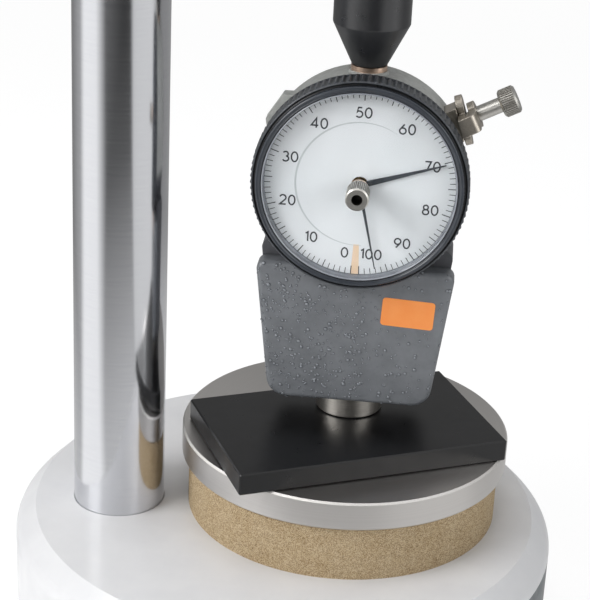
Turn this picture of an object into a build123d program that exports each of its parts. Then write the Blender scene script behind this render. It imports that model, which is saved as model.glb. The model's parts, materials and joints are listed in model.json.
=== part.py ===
from build123d import *
from math import acos, atan2, cos, degrees, hypot, pi, radians, sin, sqrt, tan
import os

# A dial durometer on a lever stand, in millimetres, +Z up. The dial faces -Y and the column stands at -X.
# The origin is the centre of the base, on the surface that its feet stand on.
# Heights in the durometer are measured from the underside of its presser foot, and depths from the plane
# through its plunger, with the front positive.

# Clearances
fit = 0.02  # radius, between pieces that are fixed together
running = 0.04  # radius, between a shaft and its bearing
free = 0.3  # between pieces that pass each other
tapped = 0.05  # radius, between a plain screw shank and its tapped hole

# Base and its feet
base_diameter = 150.0
base_height = 26.5
base_rim = 5.5
base_rim_round = 5.0
base_deck = 10.0
base_foot_diameter = 18.0
base_foot_height = 4.0
base_foot_standoff = 2.0
base_foot_circle_radius = 57.0
base_foot_count = 4
label_height = 13.0
label_top_drop = 8.0
label_thickness = 0.5
label_start_angle = -62.0
label_arc = 56.0

# Column
column_diameter = 25.0
column_offset = 46.5
column_seat = 14.5
column_chamfer = 1.5
column_spare = 10.0
column_mouth = 0.25
column_web = 4.5
column_bolt_diameter = 8.0
column_bolt_flats = 13.0
column_bolt_head = 5.3
column_bolt_grip = 20.0
column_washer_diameter = 16.0
column_washer_thickness = 1.6

# Table, its pad and the rubber test block
table_reach = 62.4
pad_diameter = 86.0
pad_thickness = 15.6
table_diameter = 90.0
table_thickness = 8.0
table_edge = 0.5
table_screw_diameter = 6.0
table_screw_head_diameter = 10.0
table_screw_head = 6.0
table_screw_grip = 5.0
block_length = 75.0
block_width = 45.0
block_thickness = 6.0
block_turn = 17.2
block_shift_x = -0.6
block_shift_y = -9.5
block_edge = 0.35

# Arm, its bushes and its clamp
arm_reach = 63.0
arm_height = 46.0
arm_travel = 84.0
arm_edge = 4.0
hub_wall = 9.5
nose_radius = 18.0
bush_wall = 3.0
bush_length = 12.0
clamp_boss_radius = 11.0
clamp_boss_reach = 27.0
clamp_stud_diameter = 10.0
clamp_pad_length = 3.5
clamp_knob_diameter = 36.0
clamp_knob_height = 16.0
clamp_knob_gap = 4.0
clamp_knob_lobes = 7
clamp_knob_scallop_radius = 5.0
clamp_knob_edge = 2.0
clamp_stud_grip = 10.0

# Spindle, its weight and the holder
spindle_diameter = 14.0
spindle_lift = 12.0
spindle_spigot_diameter = 10.0
spindle_spigot_length = 14.0
collar_diameter = 24.0
collar_height = 10.0
weight_diameter = 40.0
weight_height = 46.0
weight_edge = 1.5
weight_nut_flats = 17.0
weight_nut_height = 8.0
spindle_end = 3.0
holder_tip_diameter = 9.0
holder_diameter = 19.8
holder_cone = 10.9
holder_body = 21.9
holder_edge = 0.8

# Lever, its pinion and the rack on the spindle
rack_module = 1.0
rack_pitch_line = 5.0
pinion_teeth = 16
pinion_width = 10.0
pinion_pivot_diameter = 6.0
pinion_pivot_length = 7.5
pinion_side_gap = 2.0
pinion_boss_radius = 14.0
pinion_boss_reach = 22.0
pinion_bush_wall = 1.5
pinion_flange_radius = 12.5
pinion_flange_thickness = 2.0
lever_shaft_diameter = 10.0
lever_hub_diameter = 20.0
lever_hub_width = 14.0
lever_rest_angle = 18.0
lever_length = 58.0
lever_rod_diameter = 8.0
lever_rod_grip = 8.0
lever_ball_diameter = 18.0
lever_ball_flat = 10.0

# Gear teeth
pressure_angle = radians(20)
spindle_addendum = 0.8
fine_addendum = 0.65
dedendum = 0.25  # root clearance past the addendum, in modules
spindle_backlash = 0.12
fine_backlash = 0.04
flank_steps = 4

# Durometer, turned about the spindle to face the user
gauge_turn = -7.8
dial_height = 68.4
case_radius = 26.5
case_wall = 3.0
case_back = 8.4
case_front = 8.0
case_edge = 1.6
case_floor = 4.0
case_box_wall = 2.5
box_overlap = 7.1
box_inset = 1.0
box_taper = 5.0
box_top_corner = 2.5
box_bottom_corner = 5.0
parting = 4.6
ledge_width = 3.5
ledge_thickness = 1.9
cover_thickness = 2.0
cover_lap = 1.2
lug_top_drop = 6.7
lug_inset = 5.2
lug_lean = 32.5
lug_length = 8.0
lug_back = 0.3
lug_front = 4.0
stem_boss_radius = 5.2
stem_boss_height = 0.5
stem_spigot_diameter = 5.0
stem_collar_diameter = 9.3
stem_collar_height = 1.3
stem_stud_diameter = 6.0
stem_stud_length = 10.0

# Front housing and its screws
housing_front = 10.0
housing_overlap = 2.7
housing_top_lap = 0.85
housing_bottom_lap = 1.2
housing_top_corner = 2.6
housing_bottom_corner = 5.5
housing_wall = 2.4
housing_edge = 1.3
post_radius = 2.8
post_upper_inset = 8.5
post_upper_drop = 9.6
post_lower_inset = 6.5
post_lower_z = 15.0
housing_screw_diameter = 2.4
housing_screw_head_diameter = 4.4
housing_screw_head = 1.5
housing_screw_grip = 8.0

# Presser foot, plunger and indentor
foot_diameter = 18.0
foot_height = 5.5
foot_edge = 0.4
foot_spigot_diameter = 8.0
foot_spigot_top = 13.5
foot_hole_diameter = 3.0
foot_hole_depth = 2.5
needle_travel = 2.5
rest_reading = 70.3
needle_diameter = 1.25
needle_tip_diameter = 0.79
needle_cone = 35.0
needle_grip = 2.8
plunger_diameter = 4.0
plunger_bottom = 5.2
plunger_top_drop = 2.9
plunger_collar_diameter = 8.4
plunger_collar_bottom = 15.5
plunger_collar_height = 2.0
spring_drop = 5.4
spring_diameter = 7.0
spring_wire = 0.7
spring_turns = 7
adjuster_diameter = 7.6
adjuster_flange_diameter = 8.8
adjuster_flange_height = 3.0

# Movement: the rack turns the gear arbor, and its gear turns the pointer arbor
fine_rack_module = 0.3
fine_rack_pitch_line = 1.4
rack_pinion_teeth = 12
rack_pinion_width = 3.2
fine_gear_module = 0.25
drive_gear_teeth = 58
drive_gear_thickness = 0.8
drive_gear_front = 5.5
centre_pinion_teeth = 13
centre_pinion_overlap = 0.1
arbor_diameter = 1.4
pointer_arbor_diameter = 1.5
arbor_end_gap = 0.2
plate_thickness = 1.0
front_plate_back = 6.5
front_plate_radius = 16.0
pillar_diameter = 3.0
pillar_circle_radius = 13.5
pillar_angles = (20.0, 160.0, 305.0)
plate_screw_diameter = 1.4
plate_screw_head_diameter = 3.0
plate_screw_head = 0.8
plate_screw_grip = 4.0
movement_screw_angles = (0.0, 120.0, 240.0)
cover_screw_angles = (45.0, 135.0, 225.0, 315.0)
cover_screw_diameter = 1.6
cover_screw_head_diameter = 3.2
cover_screw_head = 0.8
cover_screw_grip = 1.6
hairspring_strip = 0.16
hairspring_height = 0.8
hairspring_step = 0.42
hairspring_turns = 4
hairspring_back = 3.2
collet_radius = 1.5

# Dial, hands, bezel and crystal
bezel_overhang = 1.5
bezel_back = 8.2
bezel_knurl_front = 14.8
bezel_ring_step = 1.4
bezel_front = 16.0
bezel_edge = 0.5
flute_count = 104
flute_radius = 0.62
flute_depth = 0.55
flute_rim = 0.25
spigot_wall = 2.0
spigot_length = 3.2
wire_diameter = 0.7
wire_setback = 1.3
wire_opening = 13.0
dial_front = 12.2
dial_thickness = 0.5
dial_lip = 0.75
dial_hole_diameter = 4.4
dial_ring_thickness = 0.35
dial_ring_width = 1.2
crystal_back = 14.2
crystal_thickness = 1.2
crystal_ring_width = 0.95
units_per_turn = 360.0 / 3.55
peak_reading = 97.0
mid_reading = 50.0
pointer_gap = 2.19
pointer_tail = 1.7
pointer_root_half = 0.88
pointer_tip_half = 0.12
pointer_back = 12.55
hand_thickness = 0.3
pointer_hub_diameter = 3.2
pointer_hub_height = 0.55
peak_root_half = 0.5
peak_back = 13.5
peak_hub_diameter = 2.8
bush_diameter = 4.0
bush_flange_diameter = 4.8
bush_flange_thickness = 1.6
reset_shaft_diameter = 1.6
reset_knob_diameter = 5.95
reset_knob_length = 7.1
reset_knob_flutes = 36
reset_flute_radius = 0.2
reset_hole_diameter = 2.8
reset_hole_depth = 3.5
reset_knob_edge = 0.35

# Bezel clamp, beside a radius of the dial
clamp_clock = 62.5
clamp_offset = 1.95
jaw_tilt = 9.0
bracket_half_depth = 3.5
bracket_half_width = 4.5
bracket_height = 1.8
clip_thickness = 1.9
clip_gap = 1.2
clip_back = 3.5
clip_front = 2.5
clip_inner_half = 6.7
clip_outer_half = 3.6
clip_web_half = 2.4
clip_web_front = 8.0
clip_corner = 2.9
clip_bend = 1.6
thumbscrew_diameter = 3.0
thumbscrew_shank_diameter = 4.0
thumbscrew_shank_length = 6.3
thumbscrew_head_diameter = 7.4
thumbscrew_head_length = 4.4
thumbscrew_flutes = 40
thumbscrew_flute_radius = 0.22
thumbscrew_edge = 0.5

# Heights and places worked out from the sizes
base_radius = base_diameter / 2
base_top = base_foot_standoff + base_height
table_top = base_top + pad_thickness + table_thickness
block_top = table_top + block_thickness
column_x = -column_offset
column_radius = column_diameter / 2
column_bottom = base_top - column_seat
table_x = column_x + table_reach
spindle_x = column_x + arm_reach
spindle_radius = spindle_diameter / 2
needle_out = needle_travel * (1 - rest_reading / 100)
stem_bottom = dial_height + case_radius + stem_boss_height
holder_bottom = stem_bottom + stem_collar_height
holder_top = block_top + holder_bottom + holder_cone + holder_body
arm_bottom = holder_top + spindle_lift + free
arm_top = arm_bottom + arm_height
column_top = arm_top + arm_travel + column_spare
collar_top = arm_top + free + collar_height
weight_top = collar_top + weight_height
pinion_radius = rack_module * pinion_teeth / 2
pinion_x = spindle_x - rack_pitch_line - pinion_radius
pinion_z = (arm_bottom + arm_top) / 2
case_inner = case_radius - case_wall
case_bottom = dial_height - case_radius
box_top = case_bottom + box_overlap
box_top_half = case_radius - box_inset
box_bottom_half = box_top_half - box_taper
lug_top = case_radius - lug_top_drop
lug_corner = case_radius - lug_inset
housing_top = case_bottom + housing_overlap
housing_top_half = box_top_half + housing_top_lap
housing_bottom_half = box_bottom_half + housing_bottom_lap
cavity_top = housing_top - case_box_wall
cavity_narrowing = box_taper * (box_top - cavity_top) / (box_top - foot_height)
cavity_top_half = box_top_half - cavity_narrowing - case_box_wall
post_upper_x = box_top_half - post_upper_inset
post_lower_x = box_bottom_half - post_lower_inset
post_upper_z = housing_top - post_upper_drop
plunger_top = dial_height - plunger_top_drop
spring_top = case_bottom - spring_drop
plunger_radius = plunger_diameter / 2
rear_plate_front = case_back - cover_thickness - ledge_thickness - plate_thickness
arbor_radius = arbor_diameter / 2
pointer_arbor_radius = pointer_arbor_diameter / 2
gear_arbor_x = -(fine_rack_pitch_line + fine_rack_module * rack_pinion_teeth / 2)
gear_centres = fine_gear_module * (drive_gear_teeth + centre_pinion_teeth) / 2
gear_arbor_drop = sqrt(gear_centres**2 - gear_arbor_x**2)
spigot_radius = case_inner + spigot_wall
bezel_bore = spigot_radius + running
crystal_radius = bezel_bore
bezel_radius = case_radius + bezel_overhang
bezel_ring_radius = bezel_radius - bezel_ring_step
lip_radius = bezel_bore - dial_lip
pointer_length = lip_radius - pointer_gap
bracket_top = case_radius + bracket_height

# Frames of the pieces
turn = radians(gauge_turn)
gauge = Plane(origin=(spindle_x, 0, block_top), x_dir=(cos(turn), sin(turn), 0), z_dir=(0, 0, 1))
face = Plane(origin=gauge.origin, x_dir=gauge.x_dir, z_dir=-gauge.y_dir)
dial = Plane(origin=gauge.origin + gauge.z_dir * dial_height, x_dir=gauge.x_dir, z_dir=-gauge.y_dir)
lever = Plane(origin=(pinion_x, 0, pinion_z), x_dir=(1, 0, 0), z_dir=(0, 1, 0))
clamp = Plane(origin=(column_x, 0, pinion_z), x_dir=(1, 0, 0), z_dir=(0, -1, 0))
from_bottom = (Align.CENTER, Align.CENTER, Align.MIN)


def section_plane(origin, radial, along):
    """Plane through an axis, with its x along a radius and its y along the axis."""
    return Plane(origin=origin, x_dir=radial, z_dir=Vector(radial).cross(Vector(along)))


def axis_of(plane):
    """Axis of the pieces that are turned from sections on this plane."""
    return Axis(plane.origin, plane.y_dir)


def half_section(plane, *points):
    """Half of a turned piece's section, from points of (radius, distance along the axis)."""
    with BuildSketch(plane) as outline:
        with BuildLine():
            Polyline(*points, close=True)
        make_face()
    return outline.sketch


def steps(plane, bore, *sizes):
    """Half section of a stepped round piece, each step given as (radius, from, to) along the axis."""
    points = [(bore, sizes[0][1])]
    for radius, low, high in sizes:
        points += [(radius, low), (radius, high)]
    points.append((bore, sizes[-1][2]))
    return half_section(plane, *points)


def shield(plane, top_half, top, bottom_half, bottom, top_corner, bottom_corner):
    """Outline of the lower body, with sides that draw in downwards."""
    with BuildSketch(plane) as outline:
        with BuildLine():
            Polyline((-top_half, top), (top_half, top), (bottom_half, bottom), (-bottom_half, bottom), close=True)
        make_face()
        fillet(outline.vertices().group_by(Axis.Y)[-1], top_corner)
        fillet(outline.vertices().group_by(Axis.Y)[0], bottom_corner)
    return outline.sketch


def involute(angle):
    """Involute function of a pressure angle."""
    return tan(angle) - angle


def gear_face(plane, teeth, module, addendum, backlash, first_tooth):
    """Face of an involute gear with a tooth centred on the angle first_tooth, in degrees."""
    pitch_radius = module * teeth / 2
    ground = pitch_radius * cos(pressure_angle)
    root = pitch_radius - (addendum + dedendum) * module
    tip = pitch_radius + addendum * module
    low = max(ground, root)
    half_tooth = (pi * module / 2 - backlash) / (2 * pitch_radius)
    flank = []
    for step in range(flank_steps + 1):
        radius = low + (tip - low) * step / flank_steps
        flank.append((radius, half_tooth + involute(pressure_angle) - involute(acos(min(1, ground / radius)))))
    if root < ground:
        flank.insert(0, (root, flank[0][1]))
    points = []
    for tooth in range(teeth):
        centre = radians(first_tooth) + 2 * pi * tooth / teeth
        points += [(radius * cos(centre - half), radius * sin(centre - half)) for radius, half in flank]
        points += [(radius * cos(centre + half), radius * sin(centre + half)) for radius, half in reversed(flank)]
    return half_section(plane, *points)


def rack_cut(plane, rod_radius, pitch_line, module, addendum, backlash, gap_height, low, high):
    """What is cut from the -x side of a rod to leave a rack, with a gap centred on gap_height."""
    tip = -(pitch_line + addendum * module)
    root = -(pitch_line - (addendum + dedendum) * module)
    pitch = pi * module
    half_gap = (pitch / 2 + backlash) / 2
    half_mouth = half_gap + addendum * module * tan(pressure_angle)
    half_root = half_gap - (addendum + dedendum) * module * tan(pressure_angle)
    below = int((gap_height - low) // pitch)
    above = int((high - gap_height) // pitch)
    ends = (gap_height - (below + 0.5) * pitch, gap_height + (above + 0.5) * pitch)
    points = [(-rod_radius - free, ends[0]), (tip, ends[0])]
    for gap in range(-below, above + 1):
        middle = gap_height + gap * pitch
        points += [(tip, middle - half_mouth), (root, middle - half_root)]
        points += [(root, middle + half_root), (tip, middle + half_mouth)]
    points += [(tip, ends[1]), (-rod_radius - free, ends[1])]
    return half_section(plane, *points)


def clock_plane(clock, depth):
    """Plane on the dial's axis at a depth, with its y pointing to a clock angle in degrees."""
    angle = radians(clock)
    across = dial.x_dir * cos(angle) - dial.y_dir * sin(angle)
    return Plane(origin=dial.origin + dial.z_dir * depth, x_dir=across, z_dir=dial.z_dir)


def hand(plane, length, tail, root_half, hub_diameter, shaft_diameter):
    """Face of a tapered dial hand along the plane's y, with its hub and its shaft's hole."""
    with BuildSketch(plane) as outline:
        with BuildLine():
            Polyline(
                (-root_half, -tail),
                (root_half, -tail),
                (pointer_tip_half, length),
                (-pointer_tip_half, length),
                close=True,
            )
        make_face()
        Circle(hub_diameter / 2)
        Circle(shaft_diameter / 2 + fit, mode=Mode.SUBTRACT)
    return outline.sketch


def reading_clock(reading):
    """Clock angle of a reading on the dial, in degrees."""
    return (reading - mid_reading) * 360.0 / units_per_turn


column_section = section_plane((column_x, 0, 0), (1, 0, 0), (0, 0, 1))
table_section = section_plane((table_x, 0, 0), (1, 0, 0), (0, 0, 1))
spindle_section = section_plane((spindle_x, 0, 0), (1, 0, 0), (0, 0, 1))
lever_section = section_plane(lever.origin, (1, 0, 0), lever.z_dir)
clamp_section = section_plane(clamp.origin, (1, 0, 0), clamp.z_dir)
gauge_section = section_plane(gauge.origin, gauge.x_dir, gauge.z_dir)
dial_section = section_plane(dial.origin, dial.x_dir, dial.z_dir)
arbor_origin = dial.origin + dial.x_dir * gear_arbor_x - dial.y_dir * gear_arbor_drop
arbor = Plane(origin=arbor_origin, x_dir=dial.x_dir, z_dir=dial.z_dir)
arbor_section = section_plane(arbor_origin, dial.x_dir, dial.z_dir)

# Base casting, with a seat for the column and counterbores for the screws from below
base_foot_radius = base_foot_diameter / 2
deck_bottom = base_top - base_deck
label_top = base_top - label_top_drop
label_angle = radians(label_start_angle)
label_plane = Plane(
    origin=(0, 0, 0),
    x_dir=(cos(label_angle), sin(label_angle), 0),
    z_dir=(sin(label_angle), -cos(label_angle), 0),
)
label_face = half_section(
    label_plane,
    (base_radius - label_thickness, label_top - label_height),
    (base_radius, label_top - label_height),
    (base_radius, label_top),
    (base_radius - label_thickness, label_top),
)
with BuildPart(Plane.XY.offset(base_foot_standoff)) as base:
    Cylinder(base_radius, base_height, align=from_bottom)
    chamfer(base.edges().filter_by(GeomType.CIRCLE).sort_by(Axis.Z)[-1], base_rim)
    fillet(base.edges().filter_by(GeomType.CIRCLE).sort_by(Axis.Z)[-2], base_rim_round)
    with BuildSketch(Plane.XY.offset(base_foot_standoff)):
        with PolarLocations(base_foot_circle_radius, base_foot_count, start_angle=45):
            Circle(base_foot_radius + fit)
    extrude(amount=base_foot_height - base_foot_standoff, mode=Mode.SUBTRACT)
    with BuildSketch(Plane.XY.offset(base_foot_standoff)):
        with Locations((column_x, 0)):
            Circle(column_washer_diameter / 2 + free)
    extrude(amount=column_bottom - column_web - base_foot_standoff, mode=Mode.SUBTRACT)
    with BuildSketch(Plane.XY.offset(base_foot_standoff)):
        with Locations((table_x, 0)):
            Circle(table_screw_head_diameter / 2 + free)
    extrude(amount=deck_bottom - base_foot_standoff, mode=Mode.SUBTRACT)
    with BuildSketch(Plane.XY.offset(base_foot_standoff)):
        with Locations((column_x, 0)):
            Circle(column_bolt_diameter / 2 + free)
        with Locations((table_x, 0)):
            Circle(table_screw_diameter / 2 + free)
    extrude(amount=base_height, mode=Mode.SUBTRACT)
    with BuildSketch(Plane.XY.offset(base_top)):
        with Locations((column_x, 0)):
            Circle(column_radius + fit)
    extrude(amount=-column_seat, mode=Mode.SUBTRACT)
    chamfer(base.edges(Select.LAST).sort_by(Axis.Z)[-1], column_mouth)
    revolve(label_face, axis=Axis.Z, revolution_arc=label_arc, mode=Mode.SUBTRACT)

with BuildPart() as base_feet:
    with BuildSketch():
        with PolarLocations(base_foot_circle_radius, base_foot_count, start_angle=45):
            Circle(base_foot_radius)
    extrude(amount=base_foot_height)

with BuildPart() as label_plate:
    revolve(label_face, axis=Axis.Z, revolution_arc=label_arc)

# Column and the bolt that pulls it down into its seat
with BuildPart() as column:
    revolve(steps(column_section, 0, (column_radius, column_bottom, column_top)), axis=axis_of(column_section))
    chamfer(column.edges().sort_by(Axis.Z)[-1], column_chamfer)
    with BuildSketch(Plane.XY.offset(column_bottom)):
        with Locations((column_x, 0)):
            Circle(column_bolt_diameter / 2 + tapped)
    extrude(amount=column_bolt_grip + column_chamfer, mode=Mode.SUBTRACT)

column_washer_top = column_bottom - column_web
column_washer_bottom = column_washer_top - column_washer_thickness
with BuildPart() as column_washer:
    revolve(
        steps(
            column_section,
            column_bolt_diameter / 2 + tapped,
            (column_washer_diameter / 2, column_washer_bottom, column_washer_top),
        ),
        axis=axis_of(column_section),
    )

with BuildPart() as column_bolt:
    with BuildSketch(Plane.XY.offset(column_washer_bottom)):
        with Locations((column_x, 0)):
            RegularPolygon(column_bolt_flats / 2, 6, major_radius=False)
    extrude(amount=-column_bolt_head)
    with BuildSketch(Plane.XY.offset(column_washer_bottom)):
        with Locations((column_x, 0)):
            Circle(column_bolt_diameter / 2)
    extrude(amount=column_bottom + column_bolt_grip - column_washer_bottom)

# Table on its pad, held by a screw from below
table_bottom = base_top + pad_thickness
with BuildPart() as table_pad:
    revolve(
        steps(table_section, table_screw_diameter / 2 + free, (pad_diameter / 2, base_top, table_bottom)),
        axis=axis_of(table_section),
    )

with BuildPart() as table:
    revolve(steps(table_section, 0, (table_diameter / 2, table_bottom, table_top)), axis=axis_of(table_section))
    chamfer(table.edges().filter_by(GeomType.CIRCLE), table_edge)
    with BuildSketch(Plane.XY.offset(table_bottom)):
        with Locations((table_x, 0)):
            Circle(table_screw_diameter / 2 + tapped)
    extrude(amount=table_screw_grip + table_edge, mode=Mode.SUBTRACT)

with BuildPart() as table_screw:
    revolve(
        steps(
            table_section,
            0,
            (table_screw_head_diameter / 2, deck_bottom - table_screw_head, deck_bottom),
            (table_screw_diameter / 2, deck_bottom, table_bottom + table_screw_grip),
        ),
        axis=axis_of(table_section),
    )

# Rubber test block, with a small well where the indentor presses in
block_angle = radians(block_turn)
block_plane = Plane(
    origin=(table_x + block_shift_x, block_shift_y, table_top),
    x_dir=(cos(block_angle), sin(block_angle), 0),
    z_dir=(0, 0, 1),
)
with BuildPart(block_plane) as rubber_test_block:
    Box(block_length, block_width, block_thickness, align=from_bottom)
    chamfer(rubber_test_block.edges(), block_edge)
    with BuildSketch(gauge):
        Circle(needle_diameter / 2 + free)
    extrude(amount=-(needle_travel + free), mode=Mode.SUBTRACT)

# Arm casting between the column and the spindle
nose_bore = spindle_radius + bush_wall
pinion_bore = pinion_radius + spindle_addendum * rack_module + pinion_bush_wall
pinion_floor = -(pinion_width / 2 + pinion_side_gap)
with BuildPart() as arm:
    with BuildSketch(Plane.XY.offset(arm_bottom)):
        with Locations((column_x, 0)):
            Circle(column_radius + hub_wall)
        with Locations((spindle_x, 0)):
            Circle(nose_radius)
        make_hull()
    extrude(amount=arm_height)
    fillet(arm.edges().group_by(Axis.Z)[0] + arm.edges().group_by(Axis.Z)[-1], arm_edge)
    with BuildSketch(lever):
        Circle(pinion_boss_radius)
    extrude(amount=pinion_boss_reach)
    with BuildSketch(clamp):
        Circle(clamp_boss_radius)
    extrude(amount=clamp_boss_reach)
    with BuildSketch(Plane.XY.offset(arm_bottom)):
        with Locations((column_x, 0)):
            Circle(column_radius + running)
        with Locations((spindle_x, 0)):
            Circle(nose_bore)
    extrude(amount=arm_height, mode=Mode.SUBTRACT)
    with BuildSketch(lever.offset(pinion_floor)):
        Circle(pinion_bore)
    extrude(amount=pinion_boss_reach - pinion_floor, mode=Mode.SUBTRACT)
    with BuildSketch(lever.offset(pinion_floor)):
        Circle(pinion_pivot_diameter / 2 + running)
    extrude(amount=-pinion_pivot_length, mode=Mode.SUBTRACT)
    with BuildSketch(clamp):
        Circle(clamp_stud_diameter / 2 + tapped)
    extrude(amount=clamp_boss_reach, mode=Mode.SUBTRACT)

for_bush = (nose_bore - fit, arm_bottom, arm_bottom + bush_length)
with BuildPart() as lower_bush:
    revolve(steps(spindle_section, spindle_radius + running, for_bush), axis=axis_of(spindle_section))

for_bush = (nose_bore - fit, arm_top - bush_length, arm_top)
with BuildPart() as upper_bush:
    revolve(steps(spindle_section, spindle_radius + running, for_bush), axis=axis_of(spindle_section))

flange_end = pinion_boss_reach + pinion_flange_thickness
with BuildPart() as pinion_bush:
    revolve(
        steps(
            lever_section,
            lever_shaft_diameter / 2 + running,
            (pinion_bore - fit, pinion_width / 2 + pinion_side_gap, pinion_boss_reach),
            (pinion_flange_radius, pinion_boss_reach, flange_end),
        ),
        axis=axis_of(lever_section),
    )

# Clamp that holds the arm on the column: a soft pad, a stud and a lobed knob
pad_back = column_radius + running + clamp_pad_length
knob_back = clamp_boss_reach + clamp_knob_gap
with BuildPart() as clamp_pad:
    with BuildSketch(clamp):
        Circle(clamp_stud_diameter / 2)
    extrude(amount=pad_back)
    with BuildSketch(Plane.XY.offset(arm_bottom)):
        with Locations((column_x, 0)):
            Circle(column_radius + running)
    extrude(amount=arm_height, mode=Mode.SUBTRACT)

with BuildPart() as clamp_stud:
    revolve(
        steps(clamp_section, 0, (clamp_stud_diameter / 2, pad_back + fit, knob_back + clamp_stud_grip)),
        axis=axis_of(clamp_section),
    )

with BuildPart() as clamp_knob:
    with BuildSketch(clamp.offset(knob_back)):
        Circle(clamp_knob_diameter / 2)
        with PolarLocations(clamp_knob_diameter / 2 + clamp_knob_scallop_radius / 2, clamp_knob_lobes):
            Circle(clamp_knob_scallop_radius, mode=Mode.SUBTRACT)
    extrude(amount=clamp_knob_height)
    fillet(clamp_knob.edges().group_by(Axis.Y)[0] + clamp_knob.edges().group_by(Axis.Y)[-1], clamp_knob_edge)
    with BuildSketch(clamp.offset(knob_back)):
        Circle(clamp_stud_diameter / 2 + fit)
    extrude(amount=clamp_stud_grip + fit, mode=Mode.SUBTRACT)

# Spindle with its rack, the collar that stops it, and the weight that loads it
spindle_rack = Plane(origin=(spindle_x, 0, 0), x_dir=(1, 0, 0), z_dir=(0, -1, 0))
rack_reach = pinion_radius
with BuildPart() as spindle:
    revolve(
        steps(
            spindle_section,
            0,
            (spindle_spigot_diameter / 2, holder_top - spindle_spigot_length, holder_top),
            (spindle_radius, holder_top, collar_top),
            (spindle_spigot_diameter / 2, collar_top, weight_top + weight_nut_height + spindle_end),
        ),
        axis=axis_of(spindle_section),
    )
    extrude(
        rack_cut(
            spindle_rack,
            spindle_radius,
            rack_pitch_line,
            rack_module,
            spindle_addendum,
            spindle_backlash,
            pinion_z,
            pinion_z - spindle_lift - rack_reach,
            pinion_z + rack_reach,
        ),
        amount=spindle_radius,
        both=True,
        mode=Mode.SUBTRACT,
    )

with BuildPart() as stop_collar:
    revolve(
        steps(spindle_section, spindle_radius + fit, (collar_diameter / 2, arm_top + free, collar_top)),
        axis=axis_of(spindle_section),
    )

with BuildPart() as weight:
    revolve(
        steps(spindle_section, spindle_spigot_diameter / 2 + fit, (weight_diameter / 2, collar_top, weight_top)),
        axis=axis_of(spindle_section),
    )
    rims = weight.edges().filter_by(GeomType.CIRCLE).filter_by(lambda rim: rim.radius > collar_diameter / 2)
    chamfer(rims, weight_edge)

with BuildPart() as weight_nut:
    with BuildSketch(Plane.XY.offset(weight_top)):
        with Locations((spindle_x, 0)):
            RegularPolygon(weight_nut_flats / 2, 6, major_radius=False)
            Circle(spindle_spigot_diameter / 2 + tapped, mode=Mode.SUBTRACT)
    extrude(amount=weight_nut_height)

# Tapered holder under the spindle
holder_shoulder = holder_bottom + holder_cone
holder_end = holder_shoulder + holder_body
with BuildPart() as holder:
    revolve(
        half_section(
            gauge_section,
            (0, holder_bottom),
            (holder_tip_diameter / 2, holder_bottom),
            (holder_diameter / 2, holder_shoulder),
            (holder_diameter / 2, holder_end),
            (0, holder_end),
        ),
        axis=axis_of(gauge_section),
    )
    fillet(holder.edges().filter_by(GeomType.CIRCLE), holder_edge)
    with BuildSketch(gauge.offset(holder_bottom)):
        Circle(stem_stud_diameter / 2 + tapped)
    extrude(amount=stem_stud_length + free, mode=Mode.SUBTRACT)
    with BuildSketch(gauge.offset(holder_end)):
        Circle(spindle_spigot_diameter / 2 + tapped)
    extrude(amount=-(spindle_spigot_length + fit), mode=Mode.SUBTRACT)

# Lever with its pinion shaft, behind the arm
hub_start = flange_end + free
hub_end = hub_start + lever_hub_width
shaft_radius = lever_shaft_diameter / 2
with BuildPart() as pinion_shaft:
    revolve(
        steps(
            lever_section,
            0,
            (pinion_pivot_diameter / 2, pinion_floor - pinion_pivot_length + free, -pinion_width / 2),
            (shaft_radius, -pinion_width / 2, hub_end),
        ),
        axis=axis_of(lever_section),
    )
    extrude(
        gear_face(
            lever.offset(-pinion_width / 2), pinion_teeth, rack_module, spindle_addendum, spindle_backlash, 0
        ),
        amount=pinion_width,
    )

rod_angle = radians(lever_rest_angle)
rod_start = shaft_radius + free
rod_origin = lever.origin + lever.z_dir * (hub_start + lever_hub_width / 2)
rod_section = section_plane(rod_origin, (0, 1, 0), (cos(rod_angle), 0, -sin(rod_angle)))
rod_end = lever_length + lever_rod_grip - lever_ball_diameter / 2
with BuildPart() as lever_hub:
    revolve(
        steps(lever_section, shaft_radius + fit, (lever_hub_diameter / 2, hub_start, hub_end)),
        axis=axis_of(lever_section),
    )
    chamfer(lever_hub.edges().filter_by(GeomType.CIRCLE).group_by(SortBy.RADIUS)[-1], table_edge)
    revolve(
        steps(rod_section, 0, (lever_rod_diameter / 2 + fit, rod_start, lever_hub_diameter)),
        axis=axis_of(rod_section),
        mode=Mode.SUBTRACT,
    )

with BuildPart() as lever_rod:
    revolve(
        steps(rod_section, 0, (lever_rod_diameter / 2, rod_start + fit, rod_end)), axis=axis_of(rod_section)
    )

ball_radius = lever_ball_diameter / 2
ball_flat = sqrt(ball_radius**2 - (lever_ball_flat / 2) ** 2)
with BuildPart() as lever_ball:
    with BuildSketch(rod_section):
        with BuildLine():
            flat = Line((0, lever_length - ball_flat), (lever_ball_flat / 2, lever_length - ball_flat))
            crown = ThreePointArc(flat @ 1, (ball_radius, lever_length), (0, lever_length + ball_radius))
            Line(crown @ 1, flat @ 0)
        make_face()
    revolve(axis=axis_of(rod_section))
    revolve(
        steps(rod_section, 0, (lever_rod_diameter / 2 + fit, lever_length - ball_radius, rod_end + fit)),
        axis=axis_of(rod_section),
        mode=Mode.SUBTRACT,
    )

# Stem that carries the durometer under the holder
with BuildPart() as mount_stem:
    revolve(
        steps(
            gauge_section,
            0,
            (stem_spigot_diameter / 2, dial_height + case_inner, stem_bottom),
            (stem_collar_diameter / 2, stem_bottom, holder_bottom),
            (stem_stud_diameter / 2, holder_bottom, holder_bottom + stem_stud_length),
        ),
        axis=axis_of(gauge_section),
    )

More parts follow.
